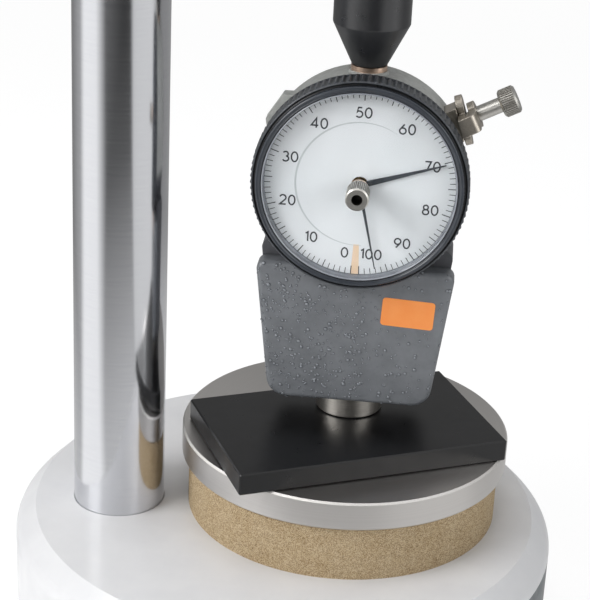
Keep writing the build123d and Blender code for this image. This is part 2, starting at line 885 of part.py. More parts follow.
# Case casting: the round dial case and the box behind the front housing
ledge_back = case_back - cover_thickness
ledge_front = ledge_back - ledge_thickness
rear_wall_front = case_back - case_box_wall
cover_radius = case_inner + cover_lap
ledge_screw_circle = case_inner - ledge_width / 2
post_places = [
    (-post_upper_x, post_upper_z),
    (post_upper_x, post_upper_z),
    (-post_lower_x, post_lower_z),
    (post_lower_x, post_lower_z),
]
lug_slope = radians(lug_lean)
lug_foot_x = -lug_corner - lug_length * sin(lug_slope)
lug_foot_y = lug_top - lug_length * cos(lug_slope)
bottom_guide = dial_height - case_inner
with BuildPart() as case:
    extrude(
        shield(
            face.offset(-case_back),
            box_top_half,
            box_top,
            box_bottom_half,
            foot_height,
            box_top_corner,
            box_bottom_corner,
        ),
        amount=case_back + parting,
    )
    extrude(
        shield(
            face.offset(-rear_wall_front),
            cavity_top_half,
            cavity_top,
            box_bottom_half - case_box_wall,
            foot_height + case_floor,
            box_top_corner,
            box_bottom_corner - case_box_wall,
        ),
        amount=rear_wall_front + parting,
        mode=Mode.SUBTRACT,
    )
    with BuildSketch(dial.offset(-case_back)):
        Circle(case_radius)
    extrude(amount=case_back + case_front)
    rear_face = case.faces().sort_by(Axis(face.origin, face.z_dir))[0]
    fillet(rear_face.outer_wire().edges(), case_edge)
    with BuildSketch(gauge.offset(dial_height)):
        Circle(stem_boss_radius)
    extrude(amount=case_radius + stem_boss_height)
    with BuildSketch(dial.offset(-lug_back)):
        with BuildLine():
            Polyline(
                (0, lug_top),
                (-lug_corner, lug_top),
                (lug_foot_x, lug_foot_y),
                (-case_inner, 0),
                close=True,
            )
        make_face()
    extrude(amount=lug_back + lug_front)
    with BuildSketch(dial.offset(case_front)):
        Circle(spigot_radius)
    extrude(amount=spigot_length)
    with BuildSketch(dial.offset(-ledge_front)):
        Circle(case_inner)
    extrude(amount=ledge_front + case_front + spigot_length, mode=Mode.SUBTRACT)
    with BuildSketch(dial.offset(-ledge_back)):
        Circle(case_inner - ledge_width)
    extrude(amount=ledge_thickness, mode=Mode.SUBTRACT)
    with BuildSketch(dial.offset(-case_back)):
        Circle(cover_radius + fit)
    extrude(amount=cover_thickness, mode=Mode.SUBTRACT)
    with BuildSketch(gauge.offset(dial_height)):
        Circle(stem_spigot_diameter / 2 + fit)
    extrude(amount=case_radius + stem_boss_height, mode=Mode.SUBTRACT)
    with BuildSketch(gauge.offset(dial_height)):
        Circle(adjuster_diameter / 2 + fit)
    extrude(amount=-(case_radius + free), mode=Mode.SUBTRACT)
    with BuildSketch(gauge.offset(foot_height)):
        Circle(foot_spigot_diameter / 2 + fit)
    extrude(amount=case_floor, mode=Mode.SUBTRACT)
    with BuildSketch(face.offset(-case_back)):
        with Locations(*post_places):
            Circle(housing_screw_diameter / 2 + tapped)
    extrude(amount=case_box_wall, mode=Mode.SUBTRACT)
    with BuildSketch(face.offset(-case_back)):
        with Locations(*post_places):
            Circle(housing_screw_head_diameter / 2 + tapped)
    extrude(amount=housing_screw_head, mode=Mode.SUBTRACT)
    with BuildSketch(dial.offset(-ledge_back)):
        for angle in movement_screw_angles + cover_screw_angles:
            with PolarLocations(ledge_screw_circle, 1, start_angle=angle):
                Circle(cover_screw_diameter / 2 + tapped)
    extrude(amount=ledge_thickness, mode=Mode.SUBTRACT)
    wire_depth = case_front + spigot_length - wire_setback
    with BuildSketch(dial_section):
        with Locations((spigot_radius, wire_depth)):
            Circle(wire_diameter / 2 + fit)
    revolve(axis=axis_of(dial_section), mode=Mode.SUBTRACT)

# Front housing, a hollow casting with a saddle under the dial and posts for the screws from behind
with BuildPart() as front_housing:
    extrude(
        shield(
            face.offset(parting),
            housing_top_half,
            housing_top,
            housing_bottom_half,
            foot_height,
            housing_top_corner,
            housing_bottom_corner,
        ),
        amount=housing_front - parting,
    )
    front_face = front_housing.faces().sort_by(Axis(face.origin, face.z_dir))[-1]
    fillet(front_face.outer_wire().edges(), housing_edge)
    with BuildSketch(face.offset(parting)):
        add(
            shield(
                Plane.XY,
                housing_top_half - housing_wall,
                housing_top - housing_wall,
                housing_bottom_half - housing_wall,
                foot_height + housing_wall,
                housing_top_corner,
                housing_bottom_corner - housing_wall,
            )
        )
        with Locations((0, dial_height)):
            Circle(bezel_radius + free + housing_wall, mode=Mode.SUBTRACT)
    extrude(amount=housing_front - parting - housing_wall, mode=Mode.SUBTRACT)
    with BuildSketch(face.offset(-rear_wall_front)):
        with Locations(*post_places):
            Circle(post_radius)
    extrude(amount=rear_wall_front + housing_front - housing_wall)
    with BuildSketch(dial.offset(parting)):
        Circle(case_radius + fit)
    extrude(amount=housing_front - parting, mode=Mode.SUBTRACT)
    with BuildSketch(dial.offset(case_front - free)):
        Circle(bezel_radius + free)
    extrude(amount=housing_front - case_front + free, mode=Mode.SUBTRACT)
    with BuildSketch(face.offset(-rear_wall_front)):
        with Locations(*post_places):
            Circle(housing_screw_diameter / 2 + tapped)
    extrude(amount=housing_screw_grip + free, mode=Mode.SUBTRACT)

with BuildPart() as housing_screws:
    with BuildSketch(face.offset(-case_back)):
        with Locations(*post_places):
            Circle(housing_screw_head_diameter / 2)
    extrude(amount=housing_screw_head)
    with BuildSketch(face.offset(-case_back)):
        with Locations(*post_places):
            Circle(housing_screw_diameter / 2)
    extrude(amount=case_box_wall + housing_screw_grip)

# Back cover and its screws
with BuildPart() as back_cover:
    with BuildSketch(dial.offset(-case_back)):
        Circle(cover_radius)
        for angle in cover_screw_angles:
            with PolarLocations(ledge_screw_circle, 1, start_angle=angle):
                Circle(cover_screw_diameter / 2 + tapped, mode=Mode.SUBTRACT)
    extrude(amount=cover_thickness)
    with BuildSketch(dial.offset(-case_back)):
        for angle in cover_screw_angles:
            with PolarLocations(ledge_screw_circle, 1, start_angle=angle):
                Circle(cover_screw_head_diameter / 2 + tapped)
    extrude(amount=cover_screw_head, mode=Mode.SUBTRACT)

with BuildPart() as cover_screws:
    with BuildSketch(dial.offset(-case_back)):
        for angle in cover_screw_angles:
            with PolarLocations(ledge_screw_circle, 1, start_angle=angle):
                Circle(cover_screw_head_diameter / 2)
    extrude(amount=cover_screw_head)
    with BuildSketch(dial.offset(-case_back)):
        for angle in cover_screw_angles:
            with PolarLocations(ledge_screw_circle, 1, start_angle=angle):
                Circle(cover_screw_diameter / 2)
    extrude(amount=cover_thickness + cover_screw_grip)

# Presser foot, with the plunger's lower guide in its spigot
with BuildPart() as presser_foot:
    revolve(
        steps(
            gauge_section,
            0,
            (foot_diameter / 2, 0, foot_height),
            (foot_spigot_diameter / 2, foot_height, foot_spigot_top),
        ),
        axis=axis_of(gauge_section),
    )
    chamfer(presser_foot.edges().sort_by(Axis.Z)[0], foot_edge)
    with BuildSketch(gauge):
        Circle(foot_hole_diameter / 2)
    extrude(amount=foot_spigot_top, mode=Mode.SUBTRACT)
    with BuildSketch(gauge.offset(foot_hole_depth)):
        Circle(plunger_radius + running)
    extrude(amount=foot_spigot_top - foot_hole_depth, mode=Mode.SUBTRACT)

# Plunger with its rack, and the indentor in its end
plunger_collar_top = plunger_collar_bottom + plunger_collar_height
needle_top = plunger_bottom + needle_grip
rack_height = dial_height - gear_arbor_drop
with BuildPart() as plunger:
    revolve(
        steps(
            gauge_section,
            0,
            (plunger_radius, plunger_bottom, plunger_collar_bottom),
            (plunger_collar_diameter / 2, plunger_collar_bottom, plunger_collar_top),
            (plunger_radius, plunger_collar_top, plunger_top),
        ),
        axis=axis_of(gauge_section),
    )
    with BuildSketch(gauge.offset(plunger_bottom)):
        Circle(needle_diameter / 2 + fit)
    extrude(amount=needle_grip + fit, mode=Mode.SUBTRACT)
    extrude(
        rack_cut(
            face,
            plunger_radius,
            fine_rack_pitch_line,
            fine_rack_module,
            fine_addendum,
            fine_backlash,
            rack_height,
            rack_height - needle_travel - fine_rack_module * rack_pinion_teeth / 2,
            plunger_top - free,
        ),
        amount=plunger_radius,
        both=True,
        mode=Mode.SUBTRACT,
    )

needle_shoulder = (needle_diameter - needle_tip_diameter) / 2 / tan(radians(needle_cone / 2)) - needle_out
with BuildPart() as indentor:
    revolve(
        half_section(
            gauge_section,
            (0, -needle_out),
            (needle_tip_diameter / 2, -needle_out),
            (needle_diameter / 2, needle_shoulder),
            (needle_diameter / 2, needle_top),
            (0, needle_top),
        ),
        axis=axis_of(gauge_section),
    )

# Calibrated spring between the plunger's collar and the adjuster, wound in quarter turns
coil_low = plunger_collar_top + spring_wire / 2 + fit
coil_rise = spring_top - spring_wire / 2 - fit - coil_low
quarters = 4 * spring_turns


def coil_point(quarter):
    """Point of the calibrated spring's centre line, counted in quarter turns."""
    angle = pi / 2 * quarter
    radius = spring_diameter / 2
    return radius * cos(angle), radius * sin(angle), coil_low + coil_rise * quarter / quarters


with BuildPart() as calibrated_spring:
    with BuildLine(gauge) as coil:
        for quarter in range(quarters):
            ThreePointArc(coil_point(quarter), coil_point(quarter + 0.5), coil_point(quarter + 1))
    with BuildSketch(Plane(origin=coil.line @ 0, z_dir=coil.line % 0)):
        Circle(spring_wire / 2)
    sweep(path=coil.line)

coil_gap = coil_rise / spring_turns - spring_wire
print(f"calibrated spring: {coil_gap:.2f} mm between its turns")

with BuildPart() as spring_adjuster:
    revolve(
        steps(
            gauge_section,
            plunger_radius + running,
            (adjuster_flange_diameter / 2, spring_top, spring_top + adjuster_flange_height),
            (adjuster_diameter / 2, spring_top + adjuster_flange_height, bottom_guide),
        ),
        axis=axis_of(gauge_section),
    )

# Movement plates, the pillars between them and their screws
rear_plate_radius = case_inner - free
front_plate_front = front_plate_back + plate_thickness
with BuildPart() as front_plate:
    with BuildSketch(dial.offset(front_plate_back)):
        Circle(front_plate_radius)
        Circle(pointer_arbor_radius + running, mode=Mode.SUBTRACT)
        with Locations((gear_arbor_x, -gear_arbor_drop)):
            Circle(arbor_radius + running, mode=Mode.SUBTRACT)
        for angle in pillar_angles:
            with PolarLocations(pillar_circle_radius, 1, start_angle=angle):
                Circle(plate_screw_diameter / 2 + tapped, mode=Mode.SUBTRACT)
    extrude(amount=plate_thickness)

with BuildPart() as rear_plate:
    with BuildSketch(dial.offset(-ledge_front)):
        Circle(rear_plate_radius)
        Circle(pointer_arbor_radius + running, mode=Mode.SUBTRACT)
        with Locations((gear_arbor_x, -gear_arbor_drop)):
            Circle(arbor_radius + running, mode=Mode.SUBTRACT)
        for angle in movement_screw_angles:
            with PolarLocations(ledge_screw_circle, 1, start_angle=angle):
                Circle(cover_screw_diameter / 2 + tapped, mode=Mode.SUBTRACT)
    extrude(amount=plate_thickness)

with BuildPart() as pillars:
    with BuildSketch(dial.offset(-rear_plate_front)):
        for angle in pillar_angles:
            with PolarLocations(pillar_circle_radius, 1, start_angle=angle):
                Circle(pillar_diameter / 2)
    extrude(amount=rear_plate_front + front_plate_back)
    with BuildSketch(dial.offset(front_plate_back)):
        for angle in pillar_angles:
            with PolarLocations(pillar_circle_radius, 1, start_angle=angle):
                Circle(plate_screw_diameter / 2 + tapped)
    extrude(amount=-(plate_screw_grip + fit), mode=Mode.SUBTRACT)

with BuildPart() as plate_screws:
    with BuildSketch(dial.offset(front_plate_front)):
        for angle in pillar_angles:
            with PolarLocations(pillar_circle_radius, 1, start_angle=angle):
                Circle(plate_screw_head_diameter / 2)
    extrude(amount=plate_screw_head)
    with BuildSketch(dial.offset(front_plate_front)):
        for angle in pillar_angles:
            with PolarLocations(pillar_circle_radius, 1, start_angle=angle):
                Circle(plate_screw_diameter / 2)
    extrude(amount=-(plate_thickness + plate_screw_grip))

with BuildPart() as movement_screws:
    with BuildSketch(dial.offset(-rear_plate_front)):
        for angle in movement_screw_angles:
            with PolarLocations(ledge_screw_circle, 1, start_angle=angle):
                Circle(cover_screw_head_diameter / 2)
    extrude(amount=cover_screw_head)
    with BuildSketch(dial.offset(-rear_plate_front)):
        for angle in movement_screw_angles:
            with PolarLocations(ledge_screw_circle, 1, start_angle=angle):
                Circle(cover_screw_diameter / 2)
    extrude(amount=-(plate_thickness + ledge_thickness - fit))

# Gear train
arbor_back = -(ledge_front - arbor_end_gap)
arbor_front = front_plate_front - arbor_end_gap
gear_back = drive_gear_front - drive_gear_thickness
towards_pointer = degrees(atan2(gear_arbor_drop, -gear_arbor_x))
with BuildPart() as gear_arbor:
    revolve(steps(arbor_section, 0, (arbor_radius, arbor_back, arbor_front)), axis=axis_of(arbor_section))
    extrude(
        gear_face(
            arbor.offset(-rack_pinion_width / 2),
            rack_pinion_teeth,
            fine_rack_module,
            fine_addendum,
            fine_backlash,
            0,
        ),
        amount=rack_pinion_width,
    )

with BuildPart() as drive_gear:
    extrude(
        gear_face(
            arbor.offset(gear_back),
            drive_gear_teeth,
            fine_gear_module,
            fine_addendum,
            fine_backlash,
            towards_pointer,
        ),
        amount=drive_gear_thickness,
    )
    with BuildSketch(arbor.offset(gear_back)):
        Circle(arbor_radius + fit)
    extrude(amount=drive_gear_thickness, mode=Mode.SUBTRACT)

pointer_top = pointer_back + pointer_hub_height
centre_pinion_phase = towards_pointer + 180 + 180 / centre_pinion_teeth
with BuildPart() as pointer_arbor:
    revolve(steps(dial_section, 0, (pointer_arbor_radius, arbor_back, pointer_top)), axis=axis_of(dial_section))
    extrude(
        gear_face(
            dial.offset(gear_back - centre_pinion_overlap),
            centre_pinion_teeth,
            fine_gear_module,
            fine_addendum,
            fine_backlash,
            centre_pinion_phase,
        ),
        amount=drive_gear_thickness + 2 * centre_pinion_overlap,
    )

# Hairspring: a collet on the pointer arbor and a flat spiral of half circles
spring_plane = dial.offset(-hairspring_back)
with BuildPart() as hairspring:
    with BuildSketch(spring_plane):
        Circle(collet_radius)
        Circle(pointer_arbor_radius + fit, mode=Mode.SUBTRACT)
    extrude(amount=hairspring_height)
    with BuildLine(spring_plane.offset(hairspring_height / 2)) as spiral:
        for half_turn in range(2 * hairspring_turns):
            centre_x = hairspring_step * (half_turn % 2)
            CenterArc((centre_x, 0), collet_radius + hairspring_step * half_turn, 180 * half_turn, 180)
    with BuildSketch(Plane(origin=spiral.line @ 0, x_dir=dial.z_dir, z_dir=spiral.line % 0)):
        Rectangle(hairspring_height, hairspring_strip)
    sweep(path=spiral.line)

print(f"hairspring: {2 * hairspring_step - hairspring_strip:.2f} mm between its turns")

# Dial and the ring that keeps it against the bezel's lip
dial_back = dial_front - dial_thickness
with BuildPart() as dial_plate:
    with BuildSketch(dial.offset(dial_back)):
        Circle(bezel_bore - fit)
        Circle(dial_hole_diameter / 2, mode=Mode.SUBTRACT)
    extrude(amount=dial_thickness)

with BuildPart() as dial_ring:
    with BuildSketch(dial.offset(dial_back)):
        Circle(bezel_bore - fit)
        Circle(bezel_bore - dial_ring_width, mode=Mode.SUBTRACT)
    extrude(amount=-dial_ring_thickness)

# Bezel with its fluted rim, turning on the case's spigot
with BuildPart() as bezel:
    revolve(
        half_section(
            dial_section,
            (bezel_bore, bezel_back),
            (bezel_radius - bezel_edge, bezel_back),
            (bezel_radius, bezel_back + bezel_edge),
            (bezel_radius, bezel_knurl_front - bezel_edge),
            (bezel_radius - bezel_edge, bezel_knurl_front),
            (bezel_ring_radius, bezel_knurl_front),
            (bezel_ring_radius, bezel_front - bezel_edge),
            (bezel_ring_radius - bezel_edge, bezel_front),
            (crystal_radius, bezel_front),
            (crystal_radius, crystal_back),
            (lip_radius, crystal_back),
            (lip_radius, dial_front),
            (bezel_bore, dial_front),
        ),
        axis=axis_of(dial_section),
    )
    with BuildSketch(dial.offset(bezel_back)):
        with PolarLocations(bezel_radius + flute_radius - flute_depth, flute_count):
            Circle(flute_radius)
    extrude(amount=bezel_knurl_front - bezel_back - flute_rim, mode=Mode.SUBTRACT)
    with BuildSketch(dial_section):
        with Locations((spigot_radius, wire_depth)):
            Circle(wire_diameter / 2 + free)
    revolve(axis=axis_of(dial_section), mode=Mode.SUBTRACT)

# Split wire that keeps the bezel on the spigot
with BuildPart() as bezel_wire:
    with BuildSketch(dial_section):
        with Locations((spigot_radius, wire_depth)):
            Circle(wire_diameter / 2)
    revolve(axis=axis_of(dial_section), revolution_arc=360 - degrees(wire_opening / spigot_radius))

# Crystal, its ring and the bush of the reset knob
crystal_front = crystal_back + crystal_thickness
with BuildPart() as crystal:
    with BuildSketch(dial.offset(crystal_back)):
        Circle(crystal_radius - fit)
        Circle(bush_diameter / 2 + fit, mode=Mode.SUBTRACT)
    extrude(amount=crystal_thickness)

with BuildPart() as crystal_ring:
    with BuildSketch(dial.offset(crystal_front)):
        Circle(crystal_radius - fit)
        Circle(crystal_radius - crystal_ring_width, mode=Mode.SUBTRACT)
    extrude(amount=bezel_front - crystal_front)

flange_front = crystal_front + bush_flange_thickness
with BuildPart() as reset_bush:
    revolve(
        steps(
            dial_section,
            reset_shaft_diameter / 2 + running,
            (bush_diameter / 2, crystal_back, crystal_front),
            (bush_flange_diameter / 2, crystal_front, flange_front),
        ),
        axis=axis_of(dial_section),
    )

# Pointer, peak hand and the reset knob that turns the peak hand
with BuildPart() as pointer:
    extrude(
        hand(
            clock_plane(reading_clock(rest_reading), pointer_back),
            pointer_length,
            pointer_tail,
            pointer_root_half,
            pointer_hub_diameter,
            pointer_arbor_diameter,
        ),
        amount=hand_thickness,
    )
    with BuildSketch(dial.offset(pointer_back)):
        Circle(pointer_hub_diameter / 2)
        Circle(pointer_arbor_radius + fit, mode=Mode.SUBTRACT)
    extrude(amount=pointer_hub_height)

with BuildPart() as peak_hand:
    extrude(
        hand(
            clock_plane(reading_clock(peak_reading), peak_back),
            pointer_length,
            pointer_tail,
            peak_root_half,
            peak_hub_diameter,
            reset_shaft_diameter,
        ),
        amount=hand_thickness,
    )

knob_start = flange_front + free
with BuildPart() as reset_knob:
    with BuildSketch(dial.offset(knob_start)):
        Circle(reset_knob_diameter / 2)
    extrude(amount=reset_knob_length)
    chamfer(reset_knob.edges().filter_by(GeomType.CIRCLE), reset_knob_edge)
    with BuildSketch(dial.offset(knob_start)):
        with PolarLocations(reset_knob_diameter / 2, reset_knob_flutes):
            Circle(reset_flute_radius)
    extrude(amount=reset_knob_length - 2 * reset_knob_edge, mode=Mode.SUBTRACT)
    with BuildSketch(dial.offset(peak_back)):
        Circle(reset_shaft_diameter / 2)
    extrude(amount=knob_start - peak_back)
    with BuildSketch(dial.offset(knob_start + reset_knob_length)):
        Circle(reset_hole_diameter / 2)
    extrude(amount=-reset_hole_depth, mode=Mode.SUBTRACT)

# Bezel clamp: a bracket on the case, a folded clip and a thumbscrew
along_screw = clock_plane(clamp_clock, 0).y_dir
around = clock_plane(clamp_clock, 0).x_dir
screw_origin = dial.origin - around * clamp_offset


def clamp_plane(reach):
    """Plane across the thumbscrew, with its x to the front and its y clockwise round the dial."""
    return Plane(origin=screw_origin + along_screw * reach, x_dir=dial.z_dir, z_dir=along_screw)


def plate(plane, back, front, half_width, corner):
    """Outline of a plate across the thumbscrew, between a back and a front."""
    with BuildSketch(plane) as outline:
        with Locations(((front + back) / 2, 0)):
            RectangleRounded(front - back, 2 * half_width, corner)
    return outline.sketch


screw_section = section_plane(screw_origin, dial.z_dir, along_screw)
jaw_normal = clock_plane(clamp_clock + jaw_tilt, 0).y_dir
jaw = Plane(origin=screw_origin + along_screw * bracket_top, x_dir=dial.z_dir, z_dir=jaw_normal)
clip_outer = clamp_plane(bracket_top + clip_thickness + clip_gap)
clip_top = bracket_top + clip_thickness + clip_gap + clip_thickness
with BuildPart() as clamp_bracket:
    with BuildSketch(clamp_plane(case_inner)):
        Rectangle(2 * bracket_half_depth, 2 * bracket_half_width)
        Circle(thumbscrew_diameter / 2 + tapped, mode=Mode.SUBTRACT)
    extrude(amount=bracket_top + bracket_half_width - case_inner)
    with BuildSketch(jaw):
        Rectangle(4 * bracket_half_depth, 4 * bracket_half_width)
    extrude(amount=2 * bracket_half_width, mode=Mode.SUBTRACT)
    with BuildSketch(dial.offset(-bracket_half_depth)):
        Circle(case_radius + fit)
    extrude(amount=2 * bracket_half_depth, mode=Mode.SUBTRACT)

with BuildPart() as clamp_clip:
    extrude(plate(jaw, -clip_back, clip_front, clip_inner_half, clip_corner), clip_thickness)
    extrude(plate(clip_outer, -clip_back, clip_front, clip_outer_half, clip_corner), clip_thickness)
    for strip in (jaw, clip_outer):
        with BuildSketch(strip):
            with Locations((clip_web_front / 2, 0)):
                Rectangle(clip_web_front, 2 * clip_web_half)
        extrude(amount=clip_thickness)
    with BuildSketch(clamp_plane(case_radius)):
        with Locations((clip_web_front - clip_thickness / 2, 0)):
            Rectangle(clip_thickness, 2 * clip_web_half)
    extrude(amount=clip_top - case_radius)
    with BuildSketch(jaw):
        Rectangle(4 * clip_web_front, 4 * clip_inner_half)
    extrude(amount=-2 * bracket_height, mode=Mode.SUBTRACT)
    fold_edges = clamp_clip.edges().filter_by(Axis(screw_origin, around))
    fillet(fold_edges.sort_by(Axis(screw_origin, dial.z_dir + along_screw))[-1], clip_bend)
    with BuildSketch(clamp_plane(case_radius)):
        Circle(thumbscrew_diameter / 2 + tapped)
    extrude(amount=clip_top - case_radius, mode=Mode.SUBTRACT)

screw_start = case_radius + free
shank_start = clip_top + fit
shank_end = shank_start + thumbscrew_shank_length
head_end = shank_end + thumbscrew_head_length
with BuildPart() as thumbscrew:
    revolve(
        steps(
            screw_section,
            0,
            (thumbscrew_diameter / 2, screw_start, shank_start),
            (thumbscrew_shank_diameter / 2, shank_start, shank_end),
            (thumbscrew_head_diameter / 2, shank_end, head_end),
        ),
        axis=axis_of(screw_section),
    )
    rims = thumbscrew.edges().filter_by(GeomType.CIRCLE).group_by(SortBy.RADIUS)[-1]
    chamfer(rims, thumbscrew_edge)
    with BuildSketch(clamp_plane(shank_end + thumbscrew_edge)):
        with PolarLocations(thumbscrew_head_diameter / 2, thumbscrew_flutes):
            Circle(thumbscrew_flute_radius)
    extrude(amount=thumbscrew_head_length - 2 * thumbscrew_edge, mode=Mode.SUBTRACT)

pieces = {
    "base": base,
    "base_feet": base_feet,
    "label_plate": label_plate,
    "column": column,
    "column_washer": column_washer,
    "column_bolt": column_bolt,
    "table_pad": table_pad,
    "table": table,
    "table_screw": table_screw,
    "rubber_test_block": rubber_test_block,
    "arm": arm,
    "lower_bush": lower_bush,
    "upper_bush": upper_bush,
    "pinion_bush": pinion_bush,
    "clamp_pad": clamp_pad,
    "clamp_stud": clamp_stud,
    "clamp_knob": clamp_knob,
    "spindle": spindle,
    "stop_collar": stop_collar,
    "weight": weight,
    "weight_nut": weight_nut,
    "holder": holder,
    "pinion_shaft": pinion_shaft,
    "lever_hub": lever_hub,
    "lever_rod": lever_rod,
    "lever_ball": lever_ball,
    "mount_stem": mount_stem,
    "case": case,
    "front_housing": front_housing,
    "housing_screws": housing_screws,
    "back_cover": back_cover,
    "cover_screws": cover_screws,
    "presser_foot": presser_foot,
    "plunger": plunger,
    "indentor": indentor,
    "calibrated_spring": calibrated_spring,
    "spring_adjuster": spring_adjuster,
    "front_plate": front_plate,
    "rear_plate": rear_plate,
    "pillars": pillars,
    "plate_screws": plate_screws,
    "movement_screws": movement_screws,
    "gear_arbor": gear_arbor,
    "drive_gear": drive_gear,
    "pointer_arbor": pointer_arbor,
    "hairspring": hairspring,
    "dial_plate": dial_plate,
    "dial_ring": dial_ring,
    "bezel": bezel,
    "bezel_wire": bezel_wire,
    "crystal": crystal,
    "crystal_ring": crystal_ring,
    "reset_bush": reset_bush,
    "pointer": pointer,
    "peak_hand": peak_hand,
    "reset_knob": reset_knob,
    "clamp_bracket": clamp_bracket,
    "clamp_clip": clamp_clip,
    "thumbscrew": thumbscrew,
}
os.makedirs("parts", exist_ok=True)
for label, piece in pieces.items():
    piece.part.label = label
    export_step(piece.part, f"parts/{label}.step")
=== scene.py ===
import json
import random
from math import cos, hypot, pi, radians, sin, sqrt

import bpy
from mathutils import Matrix, Vector
from mathutils.bvhtree import BVHTree


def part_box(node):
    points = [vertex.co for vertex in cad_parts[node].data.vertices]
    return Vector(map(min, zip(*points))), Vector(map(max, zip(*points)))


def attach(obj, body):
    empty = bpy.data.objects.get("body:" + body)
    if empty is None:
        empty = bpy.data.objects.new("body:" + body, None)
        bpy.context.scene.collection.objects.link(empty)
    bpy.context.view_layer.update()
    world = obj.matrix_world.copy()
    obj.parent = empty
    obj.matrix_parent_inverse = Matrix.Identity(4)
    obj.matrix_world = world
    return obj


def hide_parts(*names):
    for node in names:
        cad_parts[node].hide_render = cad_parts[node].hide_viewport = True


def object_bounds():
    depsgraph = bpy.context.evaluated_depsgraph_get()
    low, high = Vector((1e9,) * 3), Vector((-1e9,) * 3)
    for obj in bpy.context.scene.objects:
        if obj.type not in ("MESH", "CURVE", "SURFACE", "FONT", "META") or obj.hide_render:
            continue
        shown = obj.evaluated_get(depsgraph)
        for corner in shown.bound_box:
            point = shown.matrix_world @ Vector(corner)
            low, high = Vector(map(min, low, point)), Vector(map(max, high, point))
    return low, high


# Looks of a dial durometer on its stand. Lengths are written in millimetres and turned into metres by MM.
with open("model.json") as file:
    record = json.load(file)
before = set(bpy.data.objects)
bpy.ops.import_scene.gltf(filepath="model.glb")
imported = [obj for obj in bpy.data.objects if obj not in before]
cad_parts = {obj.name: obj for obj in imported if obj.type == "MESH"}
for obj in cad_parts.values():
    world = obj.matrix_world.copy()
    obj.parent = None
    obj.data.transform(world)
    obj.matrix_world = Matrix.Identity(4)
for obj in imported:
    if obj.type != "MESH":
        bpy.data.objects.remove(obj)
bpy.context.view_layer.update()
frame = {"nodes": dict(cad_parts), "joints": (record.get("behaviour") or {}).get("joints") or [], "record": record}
nodes = frame["nodes"]
joints = {joint["name"]: joint for joint in frame["joints"]}
MM = 0.001

# Camera, from the photograph's own perspective
camera_place = (-23.5, -430.8, 272.4)
camera_pitch = radians(23.04)
camera_yaw = radians(-3.17)
camera_roll = radians(2.69)
focal_pixels = 1742.765
picture_height = 600
sensor_height = 36.0
nearest_seen = 10.0
farthest_seen = 50000.0

# Dial print
units = 100
unit_angle = 3.55
mid_reading = 50
tick_outer = 24.75
tick_lengths = {10: 2.5, 5: 2.3, 1: 1.85}
tick_widths = {10: 0.25, 5: 0.22, 1: 0.19}
numeral_step = 10
numeral_circle = 19.1
numeral_height = 2.93
numeral_stroke = 0.4
numeral_gap = 0.3
numeral_spread = 1.05
zero_place = (-2.9, -18.7)
hundred_place = (3.95, -18.7)
guide_radius = 16.5
guide_widths = (0.08, 0.48)
guide_readings = (-2, 59)
guide_steps = 96
band_inner = 16.3
band_outer = 24.75
band_steps = 6
ink_thickness = 0.03
mitre_limit = 0.35
same_point = 1e-9

# Bezel: its flutes, its edges, the groove beside the flutes and the lip under the crystal.
# Each flute's pitch has flute_steps points, and its length has flute_rows rows.
flute_count = 104
flute_radius = 0.66
flute_depth = 0.6
flute_steps = 10
flute_rows = 10
flute_rim = 0.2
flute_setback = 0.3
flute_round_share = 0.25
rim_edge = 0.5
back_inset = 0.5
back_round_inset = 0.15
back_round_rise = 0.1
shoulder_drop = 1.2
ledge_width = 0.2
ledge_crown = 0.02
groove_slope = 0.1
groove_outer_depth = 0.25
groove_inner_depth = 0.3
ring_step = 1.4
lip_reach = 0.37
lip_bevel = 0.3

# Rounded edge of the bezel's smooth ring, as steps inward and down from its corner
ring_round = [(0.0, 0.45), (0.06, 0.2), (0.2, 0.06), (0.42, 0.0)]

# Ring that holds the crystal: a bead on its inner edge and a gap outside the bead
retainer_segments = 240
bead_width = 0.4
bead_height = 0.2
bead_drop = 0.25
bead_steps = 8
bead_gap = 0.22
gap_slope = 0.1
gap_crown = 0.02
gap_shoulder = 0.1
gap_draft = 0.04
gap_depth = 0.35

# Label on the front housing, measured from the plunger's axis and from the presser foot
label_left = 7.6
label_right = 21.5
label_bottom = 28.7
label_top = 36.6
label_corner = 0.9
label_corner_steps = 8
label_tilt = radians(-2.6)
label_thickness = 0.06
label_margin = 0.5

# Paint droplets on the front housing. A droplet's height and sink are shares of its radius.
droplet_seed = 7
droplet_count = 760
droplet_radius = (0.22, 0.58)
droplet_height = 0.62
droplet_sink = 0.05
droplet_rings = (0.4, 0.7, 1.0)
droplet_sides = 9
large_share = 0.3
small_scale = 0.7
crowded_end = 4.0
sparse_share = 0.35
housing_reach = 5.0
housing_lean = 0.25
ray_start = 20.0

# Faces of the solids that have a finish of their own. Normals are shares along an axis.
hole_radius = 1.45
hole_edge = 0.05
hole_depth = 4.0
knurl_edge = 0.05
knurl_reach = 0.5
knurl_normal = 0.2
table_edge_reach = 1.0
table_edge_normals = (0.25, 0.85)
column_end_normal = 0.5

# Edges and wear of the solids
sharp_angle = radians(28)
worn_passes = {"clamp_clip": 9, "clamp_bracket": 6}
worn_voxel = 0.12
worn_factor = 0.5
block_edge = 0.25
block_edge_segments = 3
block_edge_angle = radians(40)

